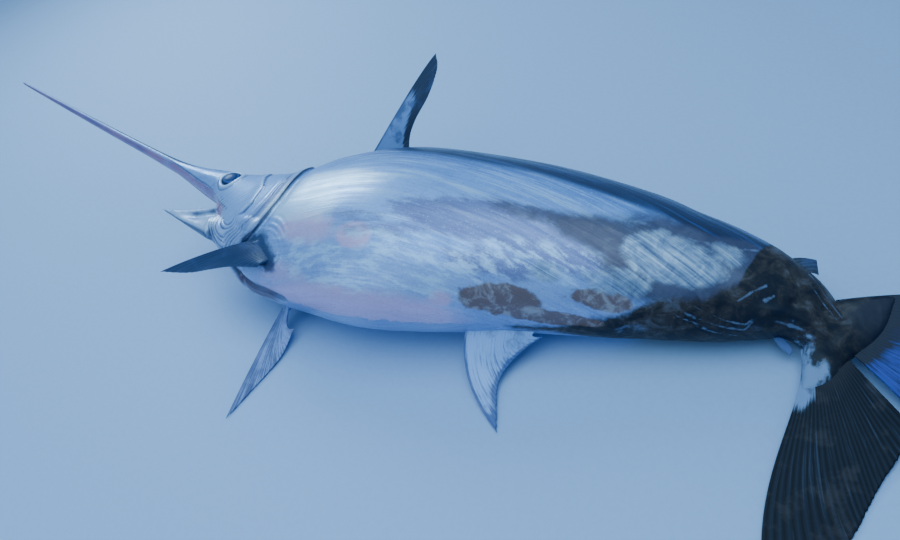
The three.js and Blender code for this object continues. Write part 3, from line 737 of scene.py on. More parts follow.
class SkinPaint:
    """Lays the colours of the skin over each other, from the flank's own to the marks on the head."""

    def __init__(self, sheet, look):
        self.sheet = sheet
        self.look = look
        self.chart = sheet.attribute("chart", "Vector")
        self.place = sheet.place()
        self.grain = sheet.group(wet_skin_group(), Chart=self.chart, Object=self.place)
        self.streak = self.grain["Streak"]
        self.blotch = self.grain["Blotch"]
        self.fine = sheet.noise(self.place, 34.0, 6.0, 0.68, 0.6)
        self.bright = sheet.span(self.streak, 0.48, 0.64)
        self.cloud = sheet.span(self.blotch, 0.4, 0.62)
        self.waver = sheet.swing(self.streak, 0.12)
        self.ragged = broken_edge_group()
        self.colour = sheet.ramp(sheet.plus(sheet.attribute("round"), self.waver), FLANK_TONES)

    def over(self, mask, tone, strength=None):
        share = mask if strength is None else self.sheet.times(mask, strength)
        self.colour = self.sheet.mix(share, self.colour, tone)

    def over_mask(self, name, tone, strength=None):
        self.over(self.sheet.attribute(name), tone, strength)

    def mark(self, name, vector=None):
        scale, raggedness, softness = MARK_EDGES[name]
        return self.sheet.group(
            self.ragged, Mask=self.sheet.attribute(name), Vector=vector or self.place, Scale=scale,
            Raggedness=raggedness, Softness=softness,
        )["Mark"]

    def flank(self):
        """Silver-blue streaks, painted highlights, the rosy belly and the mauve and frosty marks."""
        sheet = self.sheet
        self.over(self.cloud, TONES["cloud"], 0.35)
        # Pale streaks, faint everywhere and strong as a painted highlight where the sheen mask lies.
        sheen = sheet.plus(0.22, sheet.times(sheet.attribute("sheen"), 0.7))
        self.over(sheet.times(self.bright, sheen), tuple(self.look.sheen_colour))
        self.over(sheet.span(self.streak, 0.5, 0.36), TONES["dim streak"], 0.3)
        self.over(self.mark("rosy"), tuple(self.look.blush_colour), 0.66)
        self.over(self.mark("mauve", sheet.stretch(self.chart, MAUVE_STREAKS)), TONES["mauve"], 0.74)
        frosty = sheet.noise(sheet.stretch(self.chart, FROST_STREAKS), 1.0, 8.0, 0.72)
        self.over(sheet.times(self.mark("frost"), sheet.span(frosty, 0.46, 0.6)), TONES["frost"], 0.6)
        speck = sheet.noise(self.place, 260.0, 3.0, 0.6)
        self.over(sheet.span(speck, 0.56, 0.72), TONES["pale speck"], 0.3)
        self.over(sheet.span(speck, 0.44, 0.3), TONES["dark speck"], 0.22)
        # Painted highlight on the shoulder behind the gill cover.
        self.over(self.mark("shoulder_highlight"), TONES["shoulder_highlight"], 0.5)

    def back_and_rear(self):
        """The navy back, the dark worn rear and its bruise, scrapes and scratches."""
        sheet = self.sheet
        rear_noise = sheet.plus(sheet.times(self.blotch, 0.5), sheet.times(self.fine, 0.5))
        rear = sheet.ramp(rear_noise, REAR_TONES)
        self.over(self.mark("shade"), sheet.mix(0.55, rear, TONES["dusk"]), 0.92)
        navy = sheet.mix(self.bright, tuple(self.look.back_colour), TONES["navy streak"])
        navy_edge = sheet.plus(sheet.attribute("back_dark"), sheet.times(self.waver, 1.6))
        self.over(sheet.span(navy_edge, 0.3, 0.8), navy, 0.93)
        self.over(self.mark("worn_rear"), rear)
        brown = sheet.mix(sheet.span(self.fine, 0.46, 0.64), TONES["dark bruise"], TONES["pale bruise"])
        self.over(self.mark("bruise"), brown, 0.9)
        scraped_noise = sheet.plus(sheet.times(self.streak, 0.6), sheet.times(self.fine, 0.4))
        self.over(self.mark("scraped"), sheet.ramp(scraped_noise, SCRAPED_TONES), 0.86)
        self.over(self.mark("tail_scrape"), TONES["tail scrape"], 0.8)
        self.over_mask("upper_root", TONES["upper root"], 0.92)
        torn = sheet.plus(sheet.attribute("scratch"), sheet.swing(self.fine, 5.0))
        self.over(sheet.span(torn, 1.2, 0.0), TONES["scratch"], 0.62)

    def head(self):
        """Dark bill, pink mouth, grey gill cover, painted highlights, painted shade in its line, folds and
        slit.
        """
        sheet = self.sheet
        self.over_mask("bill_top", TONES["bill top"])
        self.over_mask("mouth", sheet.mix(self.cloud, TONES["mouth pink"], TONES["mouth mauve"]))
        self.over_mask("cover_grey", TONES["cover grey"])
        # Painted highlights on the gill cover's edge, the cheek's step and the throat's fold crests, with
        # pale eye rims and jaw side.
        self.over_mask("light", TONES["light"])
        # Painted shade in the grooves and folds of the head and round the eyes.
        self.over_mask("fold", TONES["fold"])
        # The line along the gill cover's edge is painted shade under its raised edge.
        past_cover = sheet.plus(sheet.attribute("past_cover"), sheet.swing(self.fine, 3.0))
        line = sheet.times(sheet.span(past_cover, -5.0, -0.5), sheet.span(past_cover, 4.6, 1.2))
        self.over(sheet.times(line, sheet.attribute("cover_edge_shade")), TONES["cover edge shade"], 0.9)
        self.over_mask("flesh", TONES["flesh"])
        # Painted shade in the gill slit and the nostrils.
        self.over_mask("slit", TONES["slit"])
        self.over(self.mark("fin_foot"), TONES["fin foot"], 0.9)


def skin_material(look):
    """Wet skin: navy back, silver-blue flank with painted highlights, rosy belly, and the dark scraped
    rear.
    """
    material, sheet, shader = new_material("Wet silver-blue skin")
    paint = SkinPaint(sheet, look)
    paint.flank()
    paint.back_and_rear()
    paint.head()
    sheet.feed(shader.inputs["Base Color"], paint.colour)
    worn = sheet.math("MAXIMUM", sheet.attribute("worn_rear"), sheet.attribute("scraped"))
    rough = sheet.plus(look.roughness, sheet.times(worn, 0.12))
    rough = sheet.plus(rough, sheet.swing(paint.blotch, 0.3))
    rough = sheet.plus(rough, sheet.swing(paint.streak, -1.1))
    sheet.feed(shader.inputs["Roughness"], rough)
    dull = sheet.math("MAXIMUM", worn, sheet.attribute("fin_foot"))
    sheet.feed(shader.inputs["Specular IOR Level"], sheet.minus(0.5, sheet.times(dull, 0.3)))
    sheet.feed(shader.inputs["Metallic"], sheet.times(sheet.attribute("silver"), 0.35))
    sheet.feed(shader.inputs["Coat Weight"], sheet.minus(0.3, sheet.times(worn, 0.24)))
    shader.inputs["Coat Roughness"].default_value = 0.24
    bump(sheet, shader, paint.grain["Height"], 0.35, 0.0012)
    return material


# Finishes of the fins: colours of the membrane, of its pale parts, of its foot and of stains, how
# pale a part has to be to show, how far the foot reaches, and how strong the lines of the rays are.
FIN_FINISHES = {
    "Navy fin": {
        "dark": (14, 22, 44), "pale": (112, 146, 200), "foot": (52, 72, 118), "stain": (40, 58, 100),
        "pale_from": 0.5,
    },
    "Lilac fin": {
        "dark": (70, 92, 146), "pale": (156, 190, 238), "foot": (120, 140, 186),
        "stain": (108, 112, 150), "pale_from": 0.35,
    },
    "Slate fin": {
        "dark": (30, 46, 80), "pale": (104, 132, 182), "foot": (40, 58, 96), "stain": (52, 70, 110),
        "pale_from": 0.62,
    },
    "Mauve fin": {
        "dark": (66, 82, 128), "pale": (150, 172, 222), "foot": (110, 120, 164),
        "stain": (104, 104, 146), "pale_from": 0.4,
    },
    "Ink-blue tail": {
        "dark": (7, 12, 28), "pale": (38, 66, 156), "foot": (14, 20, 40), "stain": (16, 24, 56),
        "pale_from": 0.5, "foot_reach": 0.4, "roughness": 0.5, "coat": 0.1, "lines": 0.05,
    },
    "Umber tail": {
        "dark": (17, 18, 25), "pale": (128, 150, 186), "foot": (44, 42, 48), "stain": (56, 49, 49),
        "pale_from": 0.66, "foot_reach": 0.36, "roughness": 0.66, "coat": 0.04, "lines": 0.05,
    },
}
PLAIN_FIN = {"foot_reach": 0.16, "roughness": 0.42, "coat": 0.2, "lines": 0.14}
FIN_STREAKS = (46.0, 2.4, 1.0)


def fin_material(name):
    """Skin over rays: dark membrane, paler rays, and streaks that run out from the base."""
    finish = PLAIN_FIN | FIN_FINISHES[name]
    pale, lines, roughness = finish["pale"], finish["lines"], finish["roughness"]
    material, sheet, shader = new_material(name)
    outward = sheet.attribute("outward")
    both = sheet.add("ShaderNodeCombineXYZ")
    sheet.feed(both.inputs[0], sheet.attribute("across"))
    sheet.feed(both.inputs[1], outward)
    streaks = sheet.noise(sheet.stretch(both.outputs[0], FIN_STREAKS), 1.0, 4.0, 0.6, 0.4)
    cloud = sheet.noise(sheet.place(), 18.0, 5.0, 0.6)
    ray = sheet.attribute("ray")
    paleness = sheet.plus(sheet.attribute("pale"), sheet.swing(cloud, 0.7))
    paleness = sheet.plus(paleness, sheet.swing(streaks, 1.1))
    shown = sheet.span(paleness, finish["pale_from"], finish["pale_from"] + 0.35)
    colour = sheet.mix(shown, finish["dark"], pale)
    colour = sheet.mix(sheet.times(sheet.span(cloud, 0.5, 0.64), 0.7), colour, finish["stain"])
    colour = sheet.mix(sheet.times(ray, lines), colour, pale)
    colour = sheet.mix(sheet.times(sheet.span(streaks, 0.55, 0.72), lines * 2), colour, pale)
    worn = sheet.plus(outward, sheet.swing(cloud, 0.25))
    near_foot = sheet.span(worn, finish["foot_reach"], finish["foot_reach"] * 0.4)
    footing = sheet.minus(near_foot, sheet.span(paleness, 0.4, 0.8))
    colour = sheet.mix(sheet.math("MAXIMUM", footing, 0.0), colour, finish["foot"])
    sheet.feed(shader.inputs["Base Color"], colour)
    sheet.feed(shader.inputs["Roughness"], sheet.plus(roughness, sheet.times(cloud, 0.2)))
    shader.inputs["Coat Weight"].default_value = finish["coat"]
    shader.inputs["Coat Roughness"].default_value = 0.3
    shader.inputs["Specular IOR Level"].default_value = 0.5 - roughness * 0.4
    bump(sheet, shader, sheet.plus(streaks, sheet.times(ray, lines * 3)), 0.4, 0.001)
    return material


# Rings of the eye from its middle outwards: pupil, iris, dark rim and the white round them.
EYE_RINGS = [
    (0.0, (26, 52, 100)), (0.34, (32, 66, 122)), (0.42, (20, 36, 74)), (0.58, (44, 84, 146)),
    (0.70, (14, 22, 46)), (0.78, (36, 54, 96)), (0.86, (150, 184, 226)),
]


def eye_material():
    """A clear wet eye: blue-black pupil, deep blue iris and a pale ring."""
    material, sheet, shader = new_material("Wet dark eye")
    grain = sheet.noise(sheet.place(), 160.0, 4.0, 0.6)
    disc = sheet.plus(sheet.attribute("disc"), sheet.swing(grain, 0.05))
    sheet.feed(shader.inputs["Base Color"], sheet.ramp(disc, EYE_RINGS))
    sheet.feed(shader.inputs["Roughness"], sheet.plus(0.3, sheet.times(grain, 0.12)))
    shader.inputs["Coat Weight"].default_value = 0.12
    shader.inputs["Coat Roughness"].default_value = 0.08
    shader.inputs["Specular IOR Level"].default_value = 0.25
    return material


FLOOR_SPECK = (150, 172, 200)


def floor_material(colour):
    material, sheet, shader = new_material("Pale studio floor")
    speck = sheet.noise(sheet.place(), 90.0, 3.0, 0.6)
    tone = sheet.mix(sheet.times(sheet.span(speck, 0.4, 0.7), 0.12), tuple(colour), FLOOR_SPECK)
    sheet.feed(shader.inputs["Base Color"], tone)
    sheet.feed(shader.inputs["Roughness"], sheet.span(speck, 0.2, 0.8, 0.6, 0.75))
    return material


# The skin


def joined_flesh(swell):
    """All solids of the flesh in one mesh, a little swollen so that the gaps between them close."""
    bm = bmesh.new()
    for name in FLESH_NODES:
        bm.from_mesh(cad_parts[name].data)
    bmesh.ops.remove_doubles(bm, verts=bm.verts, dist=1e-5)
    bm.normal_update()
    moves = [(v, v.normal * swell) for v in bm.verts]
    for vert, move in moves:
        vert.co += move
    root = np.array([TAIL_ROOT - TAIL_CORE_BACK])
    axes = [BODY.read(table, root)[0] for table in (BODY.along, BODY.back, BODY.side)]
    reach = [TAIL_CORE_LENGTH, *(BODY.read(BODY.size, root)[0][[0, 2]] * TAIL_CORE_SHARE)]
    turn = Matrix([[a[k] * r for a, r in zip(axes, reach)] for k in range(3)]).to_4x4()
    turn.translation = Vector(BODY.read(BODY.middle, root)[0])
    bmesh.ops.create_uvsphere(bm, u_segments=32, v_segments=20, radius=1.0, matrix=turn)
    front, rear = (Vector(p) for p in drawn(JAW_KEEL[0]))
    aim = (rear - front).to_track_quat("Z", "Y").to_matrix().to_4x4()
    aim.translation = (front + rear) / 2
    bmesh.ops.create_cone(
        bm, cap_ends=True, segments=32, radius1=JAW_KEEL[1], radius2=JAW_KEEL[2],
        depth=(rear - front).length, matrix=aim,
    )
    part = bpy.data.meshes.new("Root")
    for name, (share, base, end) in FIN_ROOTS.items():
        def half_at(u, v):
            rounding = 0.55 + 0.45 * np.sqrt(np.sin(math.pi * np.clip(u, 0, 1)) + 1e-9)
            return (base + (end - base) * v**0.8) / 2 * (rounding + (1 - rounding) * v)

        sheet, _, _ = closed_sheet(FIN_LINES[name], 24, 12, half_at, lambda u, v: v * share)
        sheet.to_mesh(part)
        sheet.free()
        bm.from_mesh(part)
    bpy.data.meshes.remove(part)
    mesh = bpy.data.meshes.new("Flesh")
    bm.to_mesh(mesh)
    bm.free()
    return mesh


def spare_weights(holder):
    """The trunk may lose faces, and the bill, head and tail keep theirs."""
    at, _, _ = BODY.place(coordinates(holder.data))
    spare = window(at, *TRUNK_PLACE)
    group = holder.vertex_groups.new(name="spare")
    for i in np.flatnonzero(spare > 0.02):
        group.add([int(i)], float(spare[i]), "REPLACE")


def keel_rise(at, angle):
    centre = np.interp(at, *zip(*KEEL_LINE))
    return KEEL_RISE * window(at, *KEEL_PLACE) * hump(np.abs(angle) - centre, 11.0)


def eye_seat(sign):
    """Place of the eye on the skin, and the direction it looks in."""
    place, angle = EYE_PLACE
    here = BODY.skin(place, sign * angle)[0]
    return here, unit(BODY.skin(place, sign * angle, 0.01)[0] - here)


def near_eyes(co, inner, outer):
    gaps = [np.linalg.norm(co - eye_seat(sign)[0], axis=1) for sign in (1, -1)]
    return 1 - soft_step(inner, outer, np.minimum(*gaps))


def snap_to_lines(co):
    """Draws the skin to the smooth lines of the body, except on the jaw, throat and eye sockets."""
    at, angle, share = BODY.place(co)
    size = BODY.read(BODY.size, at)
    reach = np.where(np.abs(angle) < 90, size[:, 0], size[:, 1])
    turn = np.radians(angle)
    reach = np.hypot(reach * np.cos(turn), size[:, 2] * np.sin(turn))
    off = np.abs(share - 1) * reach
    below = soft_step(112, 124, np.abs(angle)) * (1 - soft_step(9.3, 9.7, at))
    limit = SNAP_REACH - SNAP_REACH_LOST_BELOW * below
    hold = 1 - soft_step(limit * 0.7, limit * 1.3, off)
    hold *= window(at, *SKIN_PLACE)
    hold = np.maximum(hold, near_eyes(co, 0.048, 0.058))
    keel = keel_rise(at, angle)
    smooth = BODY.skin(at, angle) + BODY.read(BODY.side, at) * (keel * np.sign(angle))[:, None]
    low = smooth[:, 2] < 0
    along = BODY.read(BODY.along, at)
    rise = np.array([0.0, 0.0, 1.0]) - along * along[:, 2:3]
    smooth[low] -= rise[low] * (smooth[low, 2] / rise[low, 2])[:, None]
    hold *= np.where(co[:, 2] < 0.0015, 0.0, 1.0)
    return co + (smooth - co) * hold[:, None], hold


def fold_wave(ring, turn):
    """Loose folds of the throat, which ring the corner of the jaw."""
    return np.sin((ring + 0.003 * np.sin(turn / 3.1)) * 2 * math.pi / THROAT_FOLD_SPACING)


def patch_mask(at, angle, rows):
    """Soft ovals on the skin, each measured along and round the body."""
    length = BODY.read(BODY.length, at)
    girth = BODY.read(BODY.size, at)[:, 1] * math.pi / 180
    mask = np.zeros(len(at))
    for place, turn, half_long, half_wide, strength in rows:
        middle = BODY.read(BODY.length, np.array([place]))
        away_long = (length - middle) / (half_long * MM)
        away = np.hypot(away_long, (angle - turn) * girth / (half_wide * MM))
        mask = np.maximum(mask, strength * (1 - soft_step(0.45, 1.25, away)))
    return mask


class SkinSpots:
    """Where the points of the skin lie, and how far they are past the edges and folds of the head."""

    def __init__(self, co, at, angle):
        self.co, self.at, self.angle = co, at, angle
        self.turn = np.abs(angle)
        self.station = BODY.read(BODY.per_station, at)
        self.girth = BODY.read(BODY.size, at)[:, 1] * math.pi / 180
        self.past_cover = self.past(COVER_EDGE)
        self.past_cheek = self.past(CHEEK_EDGE)
        self.past_fold = self.past(INNER_FOLD)
        self.past_lip = (self.turn - np.interp(at, *zip(*UPPER_LIP))) * self.girth
        self.cheek = window(self.turn, *CHEEK_TURN)
        self.inner = window(self.turn, *FOLD_TURN)
        self.slit_gap, self.slit_share = line_distance(co, drawn(GILL_SLIT))
        self.flesh_gap, _ = line_distance(co, drawn(GILL_FLESH))

    def past(self, edge):
        """Metres behind an edge of the head."""
        angles, places = zip(*edge)
        return (self.at - np.interp(self.turn, angles, places)) * self.station

    def gap(self, place, angle):
        """Distance from a place on the skin."""
        return np.linalg.norm(self.co - BODY.skin(place, angle)[0], axis=1)

    def from_eye(self, sign):
        return np.linalg.norm(self.co - eye_seat(sign)[0], axis=1)

    def nostril_gaps(self, sign):
        return [self.gap(place, sign * angle) for place, angle in NOSTRILS]

    def throat(self, sign):
        """How strongly the folds of one side of the throat show, and their wave."""
        ring = self.gap(JAW_CORNER[0], sign * JAW_CORNER[1])
        share = window(ring, *THROAT_RING)
        share *= soft_step(120, 128, sign * self.angle) * (1 - soft_step(8.9, 9.05, self.at))
        return share, fold_wave(ring, self.turn)


def cheek_relief(spots, look):
    """The gill cover's raised edge, the cheek's step, the folds between them and the upper lip."""
    past_cover, past_cheek, past_fold = spots.past_cover, spots.past_cheek, spots.past_fold
    shown = window(spots.turn, *COVER_TURN)
    cover = window(past_cover, *COVER_LIFT)
    hollow = window(past_cover, *COVER_HOLLOW)
    height = look.cover_rise * MM * shown * cover - COVER_DIP * shown * hollow
    step = window(past_cheek, *CHEEK_LIFT)
    height += CHEEK_RISE * spots.cheek * step
    height -= CHEEK_GROOVE * spots.cheek * hump(past_cheek - 0.004, 0.003)
    first = hump(past_fold + 0.003, 0.004) - 1.3 * hump(past_fold - 0.003, 0.003)
    second = hump(past_fold + 0.021, 0.004) - hump(past_fold + 0.015, 0.003)
    height += FOLD_RISE * spots.inner * first + SECOND_FOLD_RISE * spots.inner * second
    palate = soft_step(0.001, 0.004, spots.past_lip)
    lip = window(spots.at, *LIP_PLACE)
    return height + lip * (LIP_RISE * hump(spots.past_lip + 0.002, 0.0035) - PALATE_DEPTH * palate)


def skin_relief(spots, look):
    """Height of every fold and edge of the skin, in metres along its normal."""
    height = cheek_relief(spots, look)
    for sign in (1, -1):
        throat, wave = spots.throat(sign)
        height += look.fold_depth * MM * throat * wave
        rim = spots.from_eye(sign)
        height += EYE_RIM_RISE * hump(rim - EYE_RIM, 0.0035)
        height -= SOCKET_DEPTH * (1 - soft_step(*SOCKET_WALL, rim))
        height -= EYE_RIM_GROOVE * hump(rim - EYE_RIM_OUTSIDE, 0.0035)
        for gap in spots.nostril_gaps(sign):
            height -= NOSTRIL_DEPTH * hump(gap, 0.0032)
        ring = spots.gap(PECTORAL_FOOT[0], sign * PECTORAL_FOOT[1])
        crease = window(ring, *CREASE_RING)
        crease *= soft_step(9.75, 10.1, spots.at) * (sign * spots.angle > 90)
        phase = (ring - CREASE_RING[0]) * 2 * math.pi / CREASE_SPACING
        height += CREASE_RISE * crease * np.sin(phase + 2 * np.sin(spots.angle / 6))
    height -= SLIT_DEPTH * hump(spots.slit_gap, 0.008) * soft_step(0.0, 0.1, spots.slit_share)
    height -= FLESH_DEPTH * hump(spots.flesh_gap, 0.009)
    return height - PIT_DEPTH * hump(spots.gap(*TAIL_PIT), 0.008)


def mark_trunk(mesh, spots):
    """Masks of the flank: where it is navy, worn, patched or scratched, and where highlights are painted.
    """
    co, at, turn = spots.co, spots.at, spots.turn
    chart = [BODY.read(BODY.length, at), spots.angle * spots.girth, np.zeros(len(co))]
    keep_vector(mesh, "chart", np.stack(chart, axis=1))
    keep_attribute(mesh, "round", turn / 180)
    keep_attribute(mesh, "silver", soft_step(58, 90, turn) * (1 - soft_step(16.5, 17.5, at)))
    back_edge = np.interp(at, *zip(*BACK_EDGE))
    keep_attribute(mesh, "back_dark", 1 - soft_step(-16, 8, turn - back_edge))
    rear_edge = np.interp(at, *zip(*REAR_EDGE))
    worn_rear = soft_step(-16, 12, turn - rear_edge) * soft_step(13.1, 13.6, at)
    keep_attribute(mesh, "worn_rear", worn_rear)
    for name, rows in PATCHES.items():
        keep_attribute(mesh, name, patch_mask(at, spots.angle, rows))
    lobe_foot = fin_sheet(FIN_LINES["caudal_lobe_lower"], np.array([0.1, 0.14]), np.array([0.1, 0.3]))
    keep_attribute(mesh, "tail_scrape", hump(line_distance(co, lobe_foot)[0], 0.036))
    # Where the pale streaks become a painted highlight: the middle of the upturned left flank behind the
    # head.
    keep_attribute(mesh, "sheen", hump(turn - 88, 22.0) * window(at, *SHEEN_PLACE))
    scratch = np.full(len(co), 8.0)
    for width, path in SCRATCHES:
        places, angles = zip(*path)
        gap, _ = line_distance(co, BODY.skin(places, angles))
        scratch = np.minimum(scratch, gap / (width * MM))
    keep_attribute(mesh, "scratch", scratch)


def mark_mouth(mesh, spots, jaw, facing):
    """Masks of the pink mouth and of the dark bill, jaw edge and lip line."""
    at, turn, past_lip = spots.at, spots.turn, spots.past_lip
    palate = soft_step(-0.001, 0.002, past_lip) * (1 - soft_step(*PALATE_PLACE[2:], at))
    palate *= soft_step(*PALATE_PLACE[:2], at)
    under = soft_step(100, 122, turn) * (1 - soft_step(*PALATE_PLACE[:2], at))
    mouth = np.maximum(palate, under) * (1 - jaw) + jaw * soft_step(0.35, 0.75, facing)
    keep_attribute(mesh, "mouth", mouth * 0.85)
    bill_top = (1 - soft_step(70, 100, turn)) * (1 - soft_step(3.6, 5.0, at)) * (1 - jaw)
    jaw_edge = jaw * soft_step(0.45, 0.85, -facing)
    lip_line = hump(past_lip + 0.001, 0.0018) * window(at, *LIP_LINE_PLACE) * (1 - jaw)
    dark = bill_top * 0.9 + jaw_edge * 0.75 + lip_line * 0.7
    keep_attribute(mesh, "bill_top", np.clip(dark, 0, 1))


def mark_head(mesh, spots, jaw, facing):
    """Masks of the gill cover, the folds of cheek and throat, the eye rims and the gill slit."""
    turn, past_cover = spots.turn, spots.past_cover
    past_cheek, past_fold = spots.past_cheek, spots.past_fold
    shown = window(turn, *COVER_LINE_TURN)
    # The cover's line is painted shade in the gap under the gill cover's raised edge.
    keep_attribute(mesh, "past_cover", np.clip(past_cover, -0.05, 0.05) * 1000)
    keep_attribute(mesh, "cover_edge_shade", shown)
    cover_grey = shown * soft_step(-0.06, -0.03, past_cover) * (past_cover < 0) * hump(turn - 96, 30)
    keep_attribute(mesh, "cover_grey", cover_grey * 0.72)
    keep_attribute(mesh, "flesh", hump(spots.flesh_gap, 0.017) * 0.95)
    # Painted shade in the gill slit's groove, and below in the nostrils.
    slit = hump(spots.slit_gap, 0.009) * soft_step(0.1, 0.25, spots.slit_share)
    # Painted shade in the groove behind the cheek's step and in the grooves of the inner folds.
    fold = spots.cheek * hump(past_cheek - 0.0025, 0.0022)
    fold += 0.7 * spots.inner * (hump(past_fold - 0.003, 0.0025) + 0.7 * hump(past_fold + 0.014, 0.0025))
    # Painted highlights just inside the gill cover's raised edge and on the cheek's step; below,
    # highlights on the throat's fold crests, a pale ring on each eye's rim and a pale band on the lower
    # jaw's side.
    light = hump(past_cover + 0.011, 0.0045) * hump(turn - 102, 24)
    light += 0.4 * spots.cheek * hump(past_cheek + 0.006, 0.004)
    for sign in (1, -1):
        for gap in spots.nostril_gaps(sign):
            slit = np.maximum(slit, hump(gap, 0.0028))
        throat, wave = spots.throat(sign)
        # Painted shade in the throat's fold valleys, painted highlight on their crests.
        fold += 0.8 * throat * soft_step(0.45, 0.95, -wave)
        light += 0.6 * throat * soft_step(0.5, 1.0, wave)
        rim = spots.from_eye(sign)
        # A pale ring on each eye's raised rim, painted shade in the groove outside it and in the socket
        # under the eye.
        light += hump(rim - 0.0280, 0.0048)
        fold += 0.7 * hump(rim - 0.0365, 0.0022) + 1 - soft_step(0.0220, 0.0240, rim)
    light += 0.7 * jaw * soft_step(0.5, -0.2, facing) * soft_step(-0.9, -0.4, facing)
    keep_attribute(mesh, "slit", np.clip(slit, 0, 1) * 0.9)
    keep_attribute(mesh, "fold", np.clip(fold, 0, 1) * 0.95)
    keep_attribute(mesh, "light", np.clip(light, 0, 1) * 0.8)


def mark_fin_roots(mesh, spots):
    """Masks of the dark skin round the pectoral fins and above the tail's root."""
    feet = np.zeros(len(spots.co))
    for name, strength in (("pectoral_fin_left", 1.0), ("pectoral_fin_right", 0.5)):
        u = np.linspace(0, 1, 7)
        for v in (0.02, 0.12, 0.22):
            gap, _ = line_distance(spots.co, fin_sheet(FIN_LINES[name], u, np.full(7, v)))
            feet = np.maximum(feet, strength * hump(gap, 0.024))
    keep_attribute(mesh, "fin_foot", feet)
    root = np.array([float(TAIL_ROOT)])
    up = (spots.co - BODY.read(BODY.middle, root)) @ BODY.read(BODY.back, root)[0]
    keep_attribute(mesh, "upper_root", soft_step(0.02, 0.06, up) * soft_step(20.4, 20.9, spots.at))


def skin_marks(mesh, spots, share, facing):
    """Masks that the skin's material reads: dark, rosy, scraped and torn places, painted shade and
    highlights.
    """
    jaw = soft_step(1.03, 1.10, share) * (spots.turn > 118) * (1 - soft_step(7.3, 7.8, spots.at))
    mark_trunk(mesh, spots)
    mark_mouth(mesh, spots, jaw, facing)
    mark_head(mesh, spots, jaw, facing)
    mark_fin_roots(mesh, spots)


def colour_property(name, description, colour):
    return FloatVectorProperty(
        name=name, description=description + ", from 0 to 255", default=colour, size=3, min=0, max=255,
    )


class SkinLook(bpy.types.PropertyGroup):
    grain_size: FloatProperty(
        name="Face size", description="Size of the skin's faces before the trunk is thinned",
        default=0.003, min=0.002, max=0.02, unit="LENGTH", subtype="DISTANCE",
    )
    trunk_share: FloatProperty(
        name="Trunk faces kept", description="Share of the faces that is kept",
        default=0.505, min=0.1, max=1.0, subtype="FACTOR",
    )
    cover_rise: FloatProperty(
        name="Gill cover rise", description="How far the gill cover's rear edge stands up, in millimetres",
        default=5.0, min=0.0, max=12.0,
    )
    fold_depth: FloatProperty(
        name="Throat fold depth", description="Height of the folds of the throat, in millimetres",
        default=1.5, min=0.0, max=3.0,
    )
    roughness: FloatProperty(
        name="Roughness", description="How dull the wet skin is",
        default=0.36, min=0.0, max=1.0, subtype="FACTOR",
    )
    back_colour: colour_property("Back", "Colour of the back between its streaks", (20, 32, 62))
    # The sheen colour paints the highlight on the flank's bright streaks.
    sheen_colour: colour_property("Sheen", "Colour of the bright streaks of the flank", (196, 226, 255))
    blush_colour: colour_property("Blush", "Colour of the rosy belly", (236, 180, 214))


class SWORDFISH_OT_skin(bpy.types.Operator):
    """One skin from the tip of the bill to the root of the tail"""

    bl_idname = "swordfish.skin"
    bl_label = "Make the skin"

    def execute(self, context):
        look = context.scene.swordfish_skin
        size = look.grain_size * 1
        flesh = joined_flesh(SOLID_SWELL)
        mesh = with_modifier_applied(flesh, "REMESH", mode="VOXEL", voxel_size=size, adaptivity=0.0)
        mesh = with_modifier_applied(
            mesh, "DECIMATE", spare_weights, decimate_type="COLLAPSE", ratio=look.trunk_share,
            vertex_group="spare", vertex_group_factor=1.0,
        )
        mesh.name = "Fish skin"
        co = coordinates(mesh)
        edges = edges_of(mesh)
        co = smoothed(co, edges, 4, 0.5)
        co = smoothed(co, edges, 40, 0.7 * near_eyes(co, 0.042, 0.056)[:, None])
        co, hold = snap_to_lines(co)
        above_floor = np.where(co[:, 2] < 0.001, 0.0, 1.0)[:, None]
        loose = (1 - hold)[:, None] * above_floor
        co = smoothed(co, edges, 14, 0.6 * loose)
        co = smoothed(co, edges, 3, 0.35 * above_floor)
        set_coordinates(mesh, co)
        at, angle, share = BODY.place(co)
        facing = (normals(mesh) * BODY.read(BODY.back, at)).sum(axis=1)
        height = skin_relief(SkinSpots(co, at, angle), look)
        co = co + normals(mesh) * height[:, None]
        co[:, 2] = np.maximum(co[:, 2], 0.0)
        set_coordinates(mesh, co)
        skin_marks(mesh, SkinSpots(co, at, angle), share, facing)
        shade_smooth(mesh)
        mesh.materials.clear()
        mesh.materials.append(skin_material(look))
        skin = new_piece("fish_skin", mesh)
        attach(skin, "root")
        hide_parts(*FLESH_NODES)
        return {"FINISHED"}


# Fins, each with its number of rays, its thickness at the foot and at the margin in millimetres, and
# how ragged the margin is between the rays
FIN_BUILD = {
    "dorsal_fin": (34, 6.5, 0.9, 0.012),
    "second_dorsal_fin": (5, 3.4, 0.9, 0.0),
    "anal_fin": (22, 5.0, 0.9, 0.02),
    "second_anal_fin": (5, 3.4, 0.9, 0.0),
    "pectoral_fin_left": (17, 9.0, 0.9, 0.01),
    "pectoral_fin_right": (17, 9.0, 0.9, 0.01),
    "caudal_lobe_upper": (26, 14.0, 1.0, 0.012),
    "caudal_lobe_lower": (26, 14.0, 1.0, 0.012),
}
SMALL_FIN_RIDGE = 0.4


def dorsal_pale(u, v):
    return 1.0 - soft_step(0.5, 0.8, v) - 0.35 * (1 - soft_step(0.0, 0.12, u))


def anal_pale(u, v):
    dark_rim = 0.4 * soft_step(0.85, 1.0, v) + 0.5 * (1 - soft_step(0.0, 0.06, u))
    return 0.6 + 0.2 * (1 - v) - dark_rim


def left_pectoral_pale(u, v):
    return 0.35 * (1 - soft_step(0.15, 0.4, v))


def right_pectoral_pale(u, v):
    return 0.5 + 0.2 * u


def upper_lobe_pale(u, v):
    return 0.75 * soft_step(0.35, 0.6, u) * soft_step(0.2, 0.4, v)


